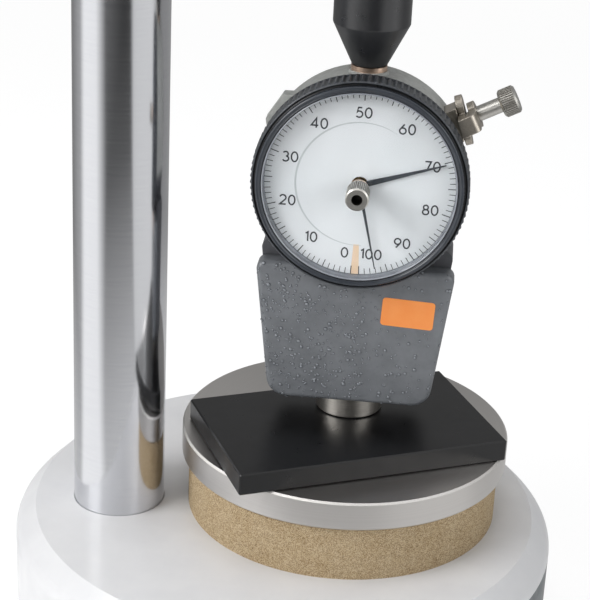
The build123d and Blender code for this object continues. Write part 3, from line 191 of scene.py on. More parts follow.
# Studio. Polished parts mirror a pattern: its brightness by the direction in degrees from the camera's side,
# positive to the right, and on the floor also by the distance from the stand's middle.
sector_stops = [(-180, 0.35), (-140, 0.25), (-104, 0.5), (-92, 1.18), (-59, 1.16), (-36, 0.14), (20, 0.025)]
sector_stops += [(27, 0.8), (77, 0.85), (95, 0.3), (180, 0.35)]
near_stops = [(0, 0.65), (130, 0.65), (230, 0.42), (393, 0.13), (614, 0.065), (1000, 0.035)]
floor_half = 6000.0
floor_grey = (0.9, 0.9, 0.9, 1)
floor_glow = 1.08
floor_glow_share = 0.8
floor_fade = (300.0, 1200.0)
ambient_tint = (0.96, 0.98, 1.0, 1)
ambient_strength = 0.25
pure_white = (1, 1, 1, 1)

# Frame of the dial, from the joint that the pointer turns on
dial_centre = Vector(joints["pointer_turn"]["pos_m"])
dial_into = Vector(joints["pointer_turn"]["axis"]).normalized()
dial_front = -dial_into
dial_right = Vector((dial_into.y, -dial_into.x, 0))
dial_up = Vector((0, 0, 1))


def depth_of(point):
    """Distance of a point in front of the plunger's plane, in millimetres."""
    return (Vector(point) - dial_centre).dot(dial_front) / MM


def front_of(node):
    """Depth of a node's foremost point, in millimetres."""
    return max(depth_of(vertex.co) for vertex in nodes[node].data.vertices)


def back_of(node):
    """Depth of a node's hindmost point, in millimetres."""
    return min(depth_of(vertex.co) for vertex in nodes[node].data.vertices)


def off_axis(point):
    """Distance of a point from the dial's axis, in millimetres."""
    return hypot((point - dial_centre).dot(dial_right), point.z - dial_centre.z) / MM


def radii(node):
    """Smallest and largest distance of a node's points from the dial's axis, in millimetres."""
    found = [off_axis(vertex.co) for vertex in nodes[node].data.vertices]
    return min(found), max(found)


def span(node, axis):
    """How far a node reaches along an axis from the dial's centre, both ways, in millimetres."""
    found = [(vertex.co - dial_centre).dot(axis) / MM for vertex in nodes[node].data.vertices]
    return min(found), max(found)


def on_dial(x, y, depth):
    """Point at x to the right and y up from the dial's centre, at a depth, all in millimetres."""
    return dial_centre + (dial_right * x + dial_up * y + dial_front * depth) * MM


foot_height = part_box("presser_foot")[0][2]
dial_face = front_of("dial_plate")
housing_face = front_of("front_housing")
table_low, table_high = (Vector(corner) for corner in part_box("table"))
table_axis = (table_low + table_high) / 2


def colour(code):
    """Linear colour from a code such as #dcdcdc, by the sRGB curve."""
    parts = [int(code[i : i + 2], 16) / 255 for i in (1, 3, 5)]
    linear = [c / 12.92 if c <= 0.04045 else ((c + 0.055) / 1.055) ** 2.4 for c in parts]
    return (*linear, 1.0)


class Graph:
    """The nodes of one node tree, with short ways to make and link them."""

    def __init__(self, tree):
        self.tree = tree

    def node(self, kind, **settings):
        """A new node with some of its settings."""
        made = self.tree.nodes.new(kind)
        for name, value in settings.items():
            setattr(made, name, value)
        return made

    def feed(self, source, socket):
        """Give a socket a link or a plain value."""
        if isinstance(source, bpy.types.NodeSocket):
            self.tree.links.new(source, socket)
        else:
            socket.default_value = source

    def maths(self, operation, first, second):
        """The result of an operation on two numbers."""
        made = self.node("ShaderNodeMath", operation=operation)
        self.feed(first, made.inputs[0])
        self.feed(second, made.inputs[1])
        return made.outputs[0]

    def vector(self, operation, first, second):
        """The result of an operation on two vectors."""
        made = self.node("ShaderNodeVectorMath", operation=operation)
        self.feed(first, made.inputs[0])
        self.feed(second, made.inputs[1])
        return made.outputs["Vector"]

    def length(self, vector):
        """The length of a vector."""
        made = self.node("ShaderNodeVectorMath", operation="LENGTH")
        self.feed(vector, made.inputs[0])
        return made.outputs["Value"]

    def split(self, vector):
        """The parts X, Y and Z of a vector."""
        made = self.node("ShaderNodeSeparateXYZ")
        self.feed(vector, made.inputs[0])
        return made.outputs

    def combine(self, **parts):
        """A vector from some of its parts X, Y and Z, with the others zero."""
        made = self.node("ShaderNodeCombineXYZ")
        for axis, source in parts.items():
            self.feed(source, made.inputs[axis])
        return made.outputs[0]

    def spread(self, source, start, end, low=0.0, high=1.0, curve="LINEAR"):
        """A factor that goes from low to high while the source goes from start to end."""
        made = self.node("ShaderNodeMapRange", interpolation_type=curve)
        self.feed(start, made.inputs["From Min"])
        self.feed(end, made.inputs["From Max"])
        self.feed(low, made.inputs["To Min"])
        self.feed(high, made.inputs["To Max"])
        self.feed(source, made.inputs["Value"])
        return made.outputs["Result"]

    def ramp(self, source, *stops):
        """Colours or grey values along a factor, given as (position, colour or value)."""
        made = self.node("ShaderNodeValToRGB")
        elements = made.color_ramp.elements
        while len(elements) < len(stops):
            elements.new(0.5)
        for element, (position, value) in zip(elements, stops):
            element.position = position
            element.color = colour(value) if isinstance(value, str) else (value, value, value, 1.0)
        self.feed(source, made.inputs["Fac"])
        return made.outputs["Color"]

    def mix(self, factor, first, second, blend="MIX"):
        """Two colours mixed by a factor."""
        made = self.node("ShaderNodeMix", data_type="RGBA", blend_type=blend)
        self.feed(factor, made.inputs["Factor"])
        self.feed(first, made.inputs["A"])
        self.feed(second, made.inputs["B"])
        return made.outputs["Result"]

    def plain(self, kind, tint, strength=None):
        """A plain shader of a kind, with its colour and, where it shines, its strength."""
        made = self.node(kind)
        self.feed(tint, made.inputs["Color"])
        if strength is not None:
            self.feed(strength, made.inputs["Strength"])
        return made.outputs[0]

    def blend(self, factor, first, second):
        """Two shaders mixed by a factor."""
        made = self.node("ShaderNodeMixShader")
        self.feed(factor, made.inputs["Fac"])
        self.feed(first, made.inputs[1])
        self.feed(second, made.inputs[2])
        return made.outputs[0]


# Materials by name. Noise stays mostly between noise_low and noise_high.
finishes = {}
noise_low = 0.3
noise_high = 0.7
noise_roughness = 0.55

# Painted shade in corners: how open a place is where the painted shade is darkest and where there is none
full_shade_openness = 0.35
unshaded_openness = 0.9
corner_shade_samples = 8

# Stretch of the coordinates that draws noise out into marks
marks_upright = (1, 1, 0.06)
marks_around = (0.06, 0.06, 1)
marks_even = (1, 1, 1)
marks_chrome = (0.05, 0.05, 1)


class Finish(Graph):
    """A material on the Principled shader, built up from procedural textures."""

    def __init__(self, name, **constants):
        material = bpy.data.materials.new(name)
        material.use_nodes = True
        super().__init__(material.node_tree)
        self.shader = self.tree.nodes["Principled BSDF"]
        for socket, value in constants.items():
            title = socket.replace("_", " ").title().replace("Ior", "IOR")
            self.shader.inputs[title].default_value = value
        self.place = self.node("ShaderNodeTexCoord").outputs["Object"]
        finishes[name] = material

    def moved(self, centre=(0, 0, 0), stretch=(1, 1, 1)):
        """Coordinates about a centre in metres, stretched along each axis."""
        return self.vector("MULTIPLY", self.vector("SUBTRACT", self.place, centre), stretch)

    def turned(self, centre):
        """Coordinates that vary only with the distance from a vertical axis and with height."""
        height = self.split(self.place)["Z"]
        return self.combine(X=self.length(self.moved(centre, (1, 1, 0))), Z=height)

    def noise(self, size, detail=3.0, where=None):
        """Noise with features of about a size in millimetres."""
        made = self.node("ShaderNodeTexNoise")
        made.inputs["Scale"].default_value = 1 / (size * MM)
        made.inputs["Detail"].default_value = detail
        made.inputs["Roughness"].default_value = noise_roughness
        self.feed(where or self.place, made.inputs["Vector"])
        return made.outputs["Fac"]

    def cells(self, size):
        """Distance to the nearest of scattered points about a size in millimetres apart, and its colour."""
        made = self.node("ShaderNodeTexVoronoi")
        made.inputs["Scale"].default_value = 1 / (size * MM)
        self.feed(self.place, made.inputs["Vector"])
        return made.outputs

    def tones(self, source, dark, light):
        """Two tones that run into each other along some noise."""
        return self.ramp(source, (noise_low, dark), (noise_high, light))

    def base(self, source):
        """Set the colour."""
        self.feed(source, self.shader.inputs["Base Color"])

    def shine(self, source, smooth, rough):
        """Set the roughness, between two values along some noise."""
        spread = self.spread(source, noise_low, noise_high, smooth, rough)
        self.feed(spread, self.shader.inputs["Roughness"])

    def bump(self, height, depth, strength=1.0):
        """Relief of a depth in millimetres, over whatever relief is already there."""
        made = self.node("ShaderNodeBump")
        made.inputs["Strength"].default_value = strength
        made.inputs["Distance"].default_value = depth * MM
        self.feed(height, made.inputs["Height"])
        under = self.shader.inputs["Normal"]
        if under.is_linked:
            self.feed(under.links[0].from_socket, made.inputs["Normal"])
        self.feed(made.outputs["Normal"], under)

    def dirty(self, source, shade_colour, reach=1.1):
        """Painted shade of a colour in corners and gaps, within a reach in millimetres."""
        corner = self.node("ShaderNodeAmbientOcclusion", samples=corner_shade_samples)
        corner.inputs["Distance"].default_value = reach * MM
        shade = self.ramp(corner.outputs["AO"], (full_shade_openness, shade_colour), (unshaded_openness, "#ffffff"))
        return self.mix(1.0, source, shade, "MULTIPLY")

    def around(self):
        """Highlights that stretch across grinding or turning marks about the vertical."""
        tangent = self.node("ShaderNodeTangent", direction_type="RADIAL", axis="Z")
        self.feed(tangent.outputs["Tangent"], self.shader.inputs["Tangent"])


def paint(name, light, dark, shine, peel, mottle, coat=0.0):
    """Sprayed paint or ink with faint patches and orange peel."""
    made = Finish(name, coat_weight=coat, coat_roughness=0.15)
    made.base(made.tones(made.noise(size=mottle, detail=4.0), dark, light))
    made.shine(made.noise(size=4.0), *shine)
    made.bump(made.noise(size=0.9, detail=1.0), depth=peel)


def metal(name, light, dark, shine, grain=0.004, along=marks_upright, shade_colour=None):
    """Machined metal with fine marks along one direction, and painted shade in its corners when a shade colour is
    given.
    """
    made = Finish(name, metallic=1.0)
    marks = made.noise(size=0.25, detail=4.0, where=made.moved(stretch=along))
    bare = made.tones(marks, dark, light)
    made.base(made.dirty(bare, shade_colour) if shade_colour else bare)
    made.shine(made.noise(size=0.6, detail=4.0, where=made.moved(stretch=along)), *shine)
    made.bump(marks, depth=grain)


def plastic(name, light, dark, shine, grain, size=0.35, specular=0.5):
    """Moulded plastic or rubber with a fine grain and faint smudges."""
    made = Finish(name, specular_ior_level=specular)
    made.base(made.tones(made.noise(size=6.0, detail=5.0), dark, light))
    made.shine(made.noise(size=5.0, detail=5.0), *shine)
    made.bump(made.noise(size=size, detail=2.0), depth=grain)


def cork(name):
    """Pressed cork: fine dark specks in several tans, over fine pits."""
    made = Finish(name, roughness=0.9, specular_ior_level=0.2)
    specks = made.cells(size=0.19)
    tans = [(0.0, "#3f2b12"), (0.34, "#846a44"), (0.5, "#bca682"), (0.75, "#cfbd9d"), (1.0, "#d8c8ab")]
    grains = made.ramp(specks["Color"], *tans)
    patches = made.ramp(made.noise(size=7.0, detail=4.0), (0.35, "#ad9675"), (0.65, "#beaa8c"))
    made.base(made.mix(0.4, grains, patches))
    made.bump(specks["Distance"], depth=0.1, strength=0.8)
    made.bump(made.noise(size=0.3), depth=0.06, strength=0.7)


def ground_steel(name, centre):
    """Steel turned on a lathe, with rings about a vertical axis."""
    made = Finish(name, metallic=1.0, anisotropic=0.55)
    rings = made.noise(size=0.35, detail=5.0, where=made.turned(centre))
    made.base(made.tones(rings, "#c6c3c0", "#cbc8c5"))
    made.shine(rings, smooth=0.31, rough=0.35)
    made.bump(rings, depth=0.0001)
    made.around()


def chrome(name):
    """Ground hard chrome with faint marks around the bar."""
    made = Finish(name, metallic=1.0, anisotropic=0.45)
    marks = made.noise(size=0.5, detail=4.0, where=made.moved(stretch=marks_chrome))
    made.base(made.tones(marks, "#d3d4d8", "#d8d9dc"))
    made.shine(marks, smooth=0.12, rough=0.16)
    made.bump(marks, depth=0.0004)
    made.around()


def hammertone(name):
    """Grey hammered paint: shallow cells, fine pimples, faint patches and painted shade in the corners, most of
    all beside the bezel.
    """
    made = Finish(name, coat_weight=0.25, coat_roughness=0.2)
    patches = made.tones(made.noise(size=5.0, detail=4.0), "#686b6f", "#76797d")
    # Painted shade where the housing meets the bezel and round the droplets
    made.base(made.dirty(patches, "#3c3d40", reach=2.6))
    made.shine(made.noise(size=2.0), smooth=0.36, rough=0.5)
    made.bump(made.cells(size=1.5)["Distance"], depth=0.09, strength=0.6)
    made.bump(made.noise(size=0.5, detail=2.0), depth=0.06, strength=0.6)


def cast_grey(name, box_top=-13.0, ring_bottom=-9.0):
    """Rough light grey on the case's ring, darker on the box below it, at heights from the dial's centre. The
    split is partly painted light: the ring's lighter grey stands in for light from above, the box's darker grey
    for the shade it sits in.
    """
    made = Finish(name)
    ring = made.tones(made.noise(size=1.5, detail=4.0), "#a4a6a2", "#babbb8")
    box = made.tones(made.noise(size=3.0, detail=4.0), "#4c4d51", "#595a5e")
    height = made.split(made.moved(dial_centre))["Z"]
    share = made.spread(height, box_top * MM, ring_bottom * MM, curve="SMOOTHSTEP")
    made.base(made.mix(share, box, ring))
    made.shine(made.noise(size=2.0), smooth=0.42, rough=0.55)
    made.bump(made.noise(size=0.8), depth=0.09)


def glass(name):
    """Clear moulded crystal."""
    made = Finish(name, transmission_weight=1.0, ior=1.46, roughness=0.0)
    made.base(made.tones(made.noise(size=30.0), "#fbfdfd", "#ffffff"))


# Finishes of the stand
paint("base_paint", "#e0e0e1", "#d9d9db", shine=(0.34, 0.44), peel=0.008, mottle=14.0, coat=0.1)
paint("arm_paint", "#e0e0e1", "#d8d8da", shine=(0.34, 0.44), peel=0.010, mottle=12.0, coat=0.1)
plastic("feet_rubber", "#242424", "#1a1a1a", shine=(0.7, 0.85), grain=0.02, size=0.5, specular=0.3)
plastic("label_film", "#4c565a", "#424b4f", shine=(0.3, 0.4), grain=0.004)
chrome("column_chrome")
metal("screw_steel", "#6f7173", "#585a5c", shine=(0.3, 0.45))
cork("pad_cork")
ground_steel("table_steel", table_axis)
# Rougher steel on the table's top edge, its lighter colour a painted glint
metal("edge_steel_painted_glint", "#dcdad7", "#d2d0cd", shine=(0.6, 0.7), grain=0.001, along=marks_even)
plastic("block_rubber", "#0a0a0c", "#060608", shine=(0.27, 0.35), grain=0.002, size=0.6)
metal("bush_brass", "#c9a66b", "#a98750", shine=(0.22, 0.34))
plastic("knob_plastic", "#1d1d1e", "#141415", shine=(0.2, 0.3), grain=0.006, size=0.8)
metal("spindle_steel", "#c6c6c7", "#b0b0b2", shine=(0.16, 0.26), grain=0.003, along=marks_around)
metal("weight_steel", "#a2a3a6", "#8b8c8f", shine=(0.26, 0.36), along=marks_around)
plastic("holder_black", "#242528", "#1d1e21", shine=(0.26, 0.36), grain=0.004, size=0.3, specular=0.8)

# Finishes of the durometer's metal and case
# The nickel gets painted shade in its seams and corners
metal("nickel", "#c4bdb2", "#a8a196", shine=(0.34, 0.46), grain=0.02, along=marks_even, shade_colour="#4a4238")
metal("knob_nickel", "#cfcdc8", "#b8b6b0", shine=(0.3, 0.4), grain=0.006, along=marks_even)
# Painted shade inside the reset knob's hole
plastic("hole_painted_shade", "#17130f", "#0d0a08", shine=(0.5, 0.6), grain=0.004)
# Painted shade in the knurl's flutes
metal("flute_painted_shade", "#96938d", "#827f79", shine=(0.4, 0.5), grain=0.006, along=marks_even)
metal("stem_bronze", "#e4cab6", "#cbae99", shine=(0.28, 0.38), grain=0.003, along=marks_around)
metal("foot_steel", "#e6e1d9", "#d2cdc5", shine=(0.3, 0.38), grain=0.003, along=marks_around)
metal("spring_steel", "#a5a6a8", "#8e9092", shine=(0.25, 0.35))
cast_grey("case_grey")
hammertone("hammer_grey")
# Droplet caps lighter as a painted highlight, droplet rims darker as painted shade
plastic("droplet_painted_highlight", "#8d9196", "#7e8287", shine=(0.16, 0.24), grain=0.002, size=0.5, specular=0.6)
plastic("droplet_painted_shade", "#515458", "#484b4f", shine=(0.3, 0.4), grain=0.002, size=0.5, specular=0.4)
plastic("sticker_orange", "#fb9c52", "#f79244", shine=(0.3, 0.4), grain=0.003)

# Finishes of the bezel and the dial
plastic("bezel_grey", "#4b4e53", "#3f4246", shine=(0.28, 0.4), grain=0.01)
# Near-black painted shade in the bezel's groove and in the gap beside the crystal's bead
plastic("groove_painted_shade", "#17181b", "#101114", shine=(0.25, 0.35), grain=0.004)
plastic("bezel_slate", "#3f434a", "#34383e", shine=(0.16, 0.24), grain=0.004)
plastic("bezel_lip", "#777b82", "#6a6e75", shine=(0.18, 0.26), grain=0.004)
# The bead is lighter as a painted highlight along the crystal's edge
plastic("bead_painted_highlight", "#9a9ea5", "#8c9098", shine=(0.1, 0.16), grain=0.002, specular=0.8)
glass("crystal_clear")
paint("dial_white", "#d8dbde", "#d3d6d9", shine=(0.45, 0.55), peel=0.003, mottle=20.0)
paint("ink_black", "#2c3036", "#22262b", shine=(0.5, 0.6), peel=0.002, mottle=3.0)
paint("ink_grey", "#b9bfc1", "#afb5b7", shine=(0.5, 0.6), peel=0.002, mottle=3.0)
paint("ink_peach", "#e6cdb6", "#dcc0a0", shine=(0.5, 0.6), peel=0.002, mottle=6.0)
paint("hand_black", "#34393f", "#2a2f35", shine=(0.35, 0.45), peel=0.003, mottle=3.0)

# Each solid has the finish that its record names, apart from these
node_finish = {
    "mount_stem": "stem_bronze",
    "reset_bush": "stem_bronze",
    "clamp_bracket": "nickel",
    "reset_knob": "knob_nickel",
    "thumbscrew": "knob_nickel",
    "crystal_ring": "bezel_slate",
    "presser_foot": "foot_steel",
}
slot_of = {part["node"]: part["material_slot"] for part in frame["record"]["subparts"]}
for name, node in nodes.items():
    node.data.materials.clear()
    node.data.materials.append(finishes[node_finish.get(name, slot_of[name])])


def add_mesh(name, points, faces, body, used, rows=None, smooth=False):
    """A mesh that rides on a body, with the finishes used and each face's place among them."""
    mesh = bpy.data.meshes.new(name)
    mesh.from_pydata([tuple(point) for point in points], [], faces)
    mesh.validate()
    for finish in used:
        mesh.materials.append(finishes[finish])
    if rows:
        mesh.polygons.foreach_set("material_index", rows)
    mesh.polygons.foreach_set("use_smooth", [smooth] * len(mesh.polygons))
    mesh.update()
    piece = bpy.data.objects.new(name, mesh)
    bpy.context.scene.collection.objects.link(piece)
    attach(piece, body)
    return piece


def arc(centre, radius, start, end, steps=20):
    """Points round a circle or an ellipse, at angles in degrees from +x."""
    across, up = radius if isinstance(radius, tuple) else (radius, radius)
    turns = [radians(start + (end - start) * step / steps) for step in range(steps + 1)]
    return [(centre[0] + across * cos(turn), centre[1] + up * sin(turn)) for turn in turns]


def unit(start, end):
    """Direction from one point to another."""
    x = end[0] - start[0]
    y = end[1] - start[1]
    length = hypot(x, y)
    return x / length, y / length


def ribbon(path, width):
    """Left and right edges of a flat stroke along a path, with the corners of sharp bends kept short."""
    left = []
    right = []
    last = len(path) - 1
    closed = hypot(path[0][0] - path[last][0], path[0][1] - path[last][1]) < same_point
    for i, (x, y) in enumerate(path):
        before = path[i - 1] if i > 0 else (path[last - 1] if closed else None)
        after = path[i + 1] if i < last else (path[1] if closed else None)
        ahead = unit(path[i], after) if after else unit(before, path[i])
        behind = unit(before, path[i]) if before else ahead
        bend = (behind[0] + ahead[0], behind[1] + ahead[1])
        length = hypot(*bend)
        middle = (bend[0] / length, bend[1] / length)
        reach = width / 2 / max(mitre_limit, middle[0] * ahead[0] + middle[1] * ahead[1])
        left.append((x - middle[1] * reach, y + middle[0] * reach))
        right.append((x + middle[1] * reach, y - middle[0] * reach))
    return left, right


def ink(name, strokes, finish):
    """Thin raised print on the dial, from strokes given as (path, width)."""
    points = []
    faces = []
    top = dial_face + ink_thickness
    for path, width in strokes:
        left, right = ribbon(path, width)
        first = len(points)
        for (lx, ly), (rx, ry) in zip(left, right):
            points.append(on_dial(lx, ly, top))
            points.append(on_dial(rx, ry, top))
            points.append(on_dial(rx, ry, dial_face))
            points.append(on_dial(lx, ly, dial_face))
        for i in range(len(path) - 1):
            a = first + 4 * i
            b = a + 4
            faces += [(a + 1, a, b, b + 1), (a + 2, a + 1, b + 1, b + 2), (a, a + 3, b + 3, b)]
        end = first + 4 * (len(path) - 1)
        faces += [(first, first + 1, first + 2, first + 3), (end + 3, end + 2, end + 1, end)]
    return add_mesh(name, points, faces, "bezel", [finish])


def clock_point(radius, clock):
    """Point on the dial at a radius and a clock angle in degrees."""
    return radius * sin(radians(clock)), radius * cos(radians(clock))


def clock_of(reading):
    """Clock angle of a reading, in degrees."""
    return (reading - mid_reading) * unit_angle


def bowl(centre, radius, steps):
    """A closed round stroke of a numeral."""
    return arc(centre, radius, 90, 450, steps)


# Numerals, as strokes on a cell one high, with each one's width
three_top = arc((0.26, 0.755), 0.245, 150, -80, 18)
three_bottom = arc((0.265, 0.27), (0.29, 0.27), 80, -155, 22)
numerals = {
    "0": (0.6, [bowl((0.3, 0.5), (0.3, 0.5), 36)]),
    "1": (0.22, [[(0.0, 0.84), (0.22, 1.0), (0.22, 0.0)]]),
    "2": (0.58, [arc((0.28, 0.71), 0.29, 165, -38, 20) + [(0.0, 0.0), (0.58, 0.0)]]),
    "3": (0.56, [three_top, three_bottom]),
    "4": (0.66, [[(0.48, 0.0), (0.48, 1.0), (0.0, 0.27), (0.66, 0.27)]]),
    "5": (0.58, [[(0.52, 1.0), (0.17, 1.0), (0.08, 0.56)] + arc((0.26, 0.32), 0.32, 118, -145, 22)]),
    "6": (0.6, [arc((0.3, 0.31), (0.3, 0.31), 142, 502, 32), [(0.064, 0.5), (0.44, 1.0)]]),
    "7": (0.56, [[(0.0, 1.0), (0.56, 1.0), (0.16, 0.0)]]),
    "8": (0.58, [bowl((0.29, 0.765), (0.225, 0.235), 28), bowl((0.29, 0.265), (0.29, 0.265), 32)]),
    "9": (0.6, [arc((0.3, 0.69), (0.3, 0.31), -38, 322, 32), [(0.536, 0.5), (0.16, 0.0)]]),
}


def number(text, centre):
    """Strokes of a number, upright about a centre on the dial."""
    scale = numeral_height - numeral_stroke
    gap = numeral_gap + numeral_stroke
    across = scale * numeral_spread
    width = sum(numerals[digit][0] * across for digit in text) + gap * (len(text) - 1)
    start = centre[0] - width / 2
    strokes = []
    for digit in text:
        for path in numerals[digit][1]:
            placed = [(start + x * across, centre[1] + (y - 0.5) * scale) for x, y in path]
            strokes.append((placed, numeral_stroke))
        start += numerals[digit][0] * across + gap
    return strokes


# Ticks, figures and guide line on the dial
ticks = []
for reading in range(units + 1):
    step = next(step for step in tick_lengths if reading % step == 0)
    inner = clock_point(tick_outer - tick_lengths[step], clock_of(reading))
    ticks.append(([clock_point(tick_outer, clock_of(reading)), inner], tick_widths[step]))
ink("dial_ticks", ticks, "ink_black")

figures = number("0", zero_place) + number(str(units), hundred_place)
for reading in range(numeral_step, units, numeral_step):
    figures += number(str(reading), clock_point(numeral_circle, clock_of(reading)))
ink("dial_numerals", figures, "ink_black")

guide_start, guide_end = (90 - clock_of(reading) for reading in guide_readings)
guide = arc((0, 0), guide_radius, guide_start, guide_end, guide_steps)
guide_strokes = []
for step in range(guide_steps):
    swell = sin(pi * (step + 0.5) / guide_steps)
    width = guide_widths[0] + (guide_widths[1] - guide_widths[0]) * swell
    guide_strokes.append((guide[step : step + 2], width))
ink("dial_guide", guide_strokes, "ink_grey")

# Peach band between the scale's two ends, lower than the ink
band_half = radians(180 - clock_of(units))
band_points = []
for depth in (dial_face + ink_thickness / 2, dial_face):
    for radius in (band_inner, band_outer):
        for step in range(band_steps + 1):
            turn = band_half * (2 * step / band_steps - 1)
            band_points.append(on_dial(radius * sin(turn), -radius * cos(turn), depth))
row = band_steps + 1
band_faces = [(i, i + 1, row + i + 1, row + i) for i in range(band_steps)]
band_faces += [(i + 1, i, 2 * row + i, 2 * row + i + 1) for i in range(band_steps)]
band_faces += [(row + i, row + i + 1, 3 * row + i + 1, 3 * row + i) for i in range(band_steps)]
add_mesh("dial_band", band_points, band_faces, "bezel", ["ink_peach"])


def lathe(name, profile, segments, body, used, relief=None):
    """A ring turned about the dial's axis, from (radius, depth, finish) points. relief cuts into a point."""
    points = []
    faces = []
    rows = []
    count = len(profile)
    for i in range(segments):
        turn = 2 * pi * i / segments
        for k, (radius, depth, _) in enumerate(profile):
            reach = radius - (relief(k, turn) if relief else 0.0)
            points.append(on_dial(reach * sin(turn), reach * cos(turn), depth))
    for i in range(segments):
        a = count * i
        b = count * ((i + 1) % segments)
        for k in range(count):
            n = (k + 1) % count
            faces.append((a + k, b + k, b + n, a + n))
            rows.append(used.index(profile[k][2]))
    return add_mesh(name, points, faces, body, used, rows, smooth=True)


# Bezel: a fluted rim, a groove made near-black as painted shade, a smooth ring round the crystal and a lip under
# it
rim = radii("bezel")[1]
lip = radii("bezel")[0] - lip_reach
bore = radii("crystal")[1]
back = back_of("bezel")
front = front_of("bezel")
crystal_back = back_of("crystal")
shoulder = front - shoulder_drop
ledge = rim - rim_edge - ledge_width
ring_edge = rim - ring_step
flute_start = back + flute_setback
flute_end = shoulder - flute_rim

bezel_profile = [
    (bore, back, "bezel_grey"),
    (rim - back_inset, back, "bezel_grey"),
    (rim - back_round_inset, back + back_round_rise, "bezel_grey"),
]
flute_first = len(bezel_profile)
for step in range(flute_rows + 1):
    depth = flute_start + (flute_end - flute_start) * step / flute_rows
    bezel_profile.append((rim - max(0.0, depth - shoulder + rim_edge), depth, "bezel_grey"))
flute_last = len(bezel_profile) - 1
bezel_profile += [
    (rim - rim_edge, shoulder, "bezel_grey"),
    (ledge, shoulder + ledge_crown, "groove_painted_shade"),
    (ledge - groove_slope, shoulder - groove_outer_depth, "groove_painted_shade"),
    (ring_edge + groove_slope, shoulder - groove_inner_depth, "groove_painted_shade"),
    (ring_edge, shoulder, "bezel_slate"),
]
bezel_profile += [(ring_edge - inward, front - down, "bezel_slate") for inward, down in ring_round]
bezel_profile += [
    (bore, front, "bezel_slate"),
    (bore, crystal_back, "bezel_lip"),
    (lip + lip_bevel, crystal_back, "bezel_lip"),
    (lip, crystal_back - lip_bevel, "bezel_lip"),
    (lip, dial_face, "bezel_lip"),
    (bore, dial_face, "bezel_grey"),
]


def flute(row, turn):
    """Cut of the flutes into a row of the bezel's rim, in millimetres."""
    if not flute_first <= row <= flute_last:
        return 0.0
    pitch = 2 * pi / flute_count
    offset = (turn / pitch + 0.5) % 1 - 0.5
    across = offset * pitch * rim
    half = sqrt(flute_radius**2 - (flute_radius - flute_depth) ** 2)
    if abs(across) >= half:
        return 0.0
    along = (row - flute_first) / flute_rows
    rounding = max(0.0, along - (1 - flute_round_share)) / flute_round_share
    end = sqrt(max(0.0, 1 - rounding**2))
    return (sqrt(flute_radius**2 - across**2) - (flute_radius - flute_depth)) * end


bezel_piece = lathe(
    "bezel_rim",
    bezel_profile,
    flute_count * flute_steps,
    "bezel",
    ["bezel_grey", "groove_painted_shade", "bezel_slate", "bezel_lip"],
    flute,
)
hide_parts("bezel")

# Ring that holds the crystal, its bead lighter as a painted highlight and the gap beside it dark as painted shade
ring_inner, ring_outer = radii("crystal_ring")
ring_back = back_of("crystal_ring")
bead_outer = ring_inner + bead_width
gap_outer = bead_outer + bead_gap
ring_profile = [
    (ring_outer, ring_back, "bezel_slate"),
    (ring_outer, front, "bezel_slate"),
    (gap_outer + gap_slope, front - gap_crown, "bezel_slate"),
    (gap_outer, front - gap_shoulder, "groove_painted_shade"),
    (gap_outer - gap_draft, front - gap_depth, "groove_painted_shade"),
    (bead_outer, front - gap_depth, "bead_painted_highlight"),
]
for step in range(bead_steps + 1):
    turn = pi * step / bead_steps
    across = bead_width / 2 * (1 + cos(turn))
    ring_profile.append((ring_inner + across, front - bead_drop + bead_height * sin(turn), "bead_painted_highlight"))
ring_profile.append((ring_inner, ring_back, "bezel_slate"))
ring_piece = lathe(
    "crystal_retainer",
    ring_profile,
    retainer_segments,
    "bezel",
    ["bezel_slate", "bead_painted_highlight", "groove_painted_shade"],
)
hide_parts("crystal_ring")

# Bare label on the front housing: a thin plate with rounded corners, tilted a little
label_outline = []
label_corners = [
    (label_right - label_corner, label_top - label_corner, 0),
    (label_left + label_corner, label_top - label_corner, 90),
    (label_left + label_corner, label_bottom + label_corner, 180),
    (label_right - label_corner, label_bottom + label_corner, 270),
]
for x, z, start in label_corners:
    label_outline += arc((x, z), label_corner, start, start + 90, label_corner_steps)
label_x = (label_left + label_right) / 2
label_z = (label_bottom + label_top) / 2
foot_drop = (foot_height - dial_centre.z) / MM
label_points = []
for level in (housing_face + label_thickness, housing_face):
    for x, z in label_outline:
        across = x - label_x
        rise = z - label_z
        tilted_x = label_x + across * cos(label_tilt) - rise * sin(label_tilt)
        tilted_z = label_z + across * sin(label_tilt) + rise * cos(label_tilt)
        label_points.append(on_dial(tilted_x, tilted_z + foot_drop, level))
count = len(label_outline)
label_faces = [tuple(range(count))]
label_faces += [((i + 1) % count, i, count + i, count + (i + 1) % count) for i in range(count)]
add_mesh("front_label", label_points, label_faces, "gauge", ["sticker_orange"])

# Droplets of the hammered paint on the front housing, densest on the left
housing = nodes["front_housing"].data
housing_corners = [vertex.co for vertex in housing.vertices]
surface = BVHTree.FromPolygons(housing_corners, [tuple(face.vertices) for face in housing.polygons])
housing_across = span("front_housing", dial_right)
housing_upward = span("front_housing", dial_up)
chance = random.Random(droplet_seed)
droplet_points = []
droplet_faces = []
droplet_rows = []


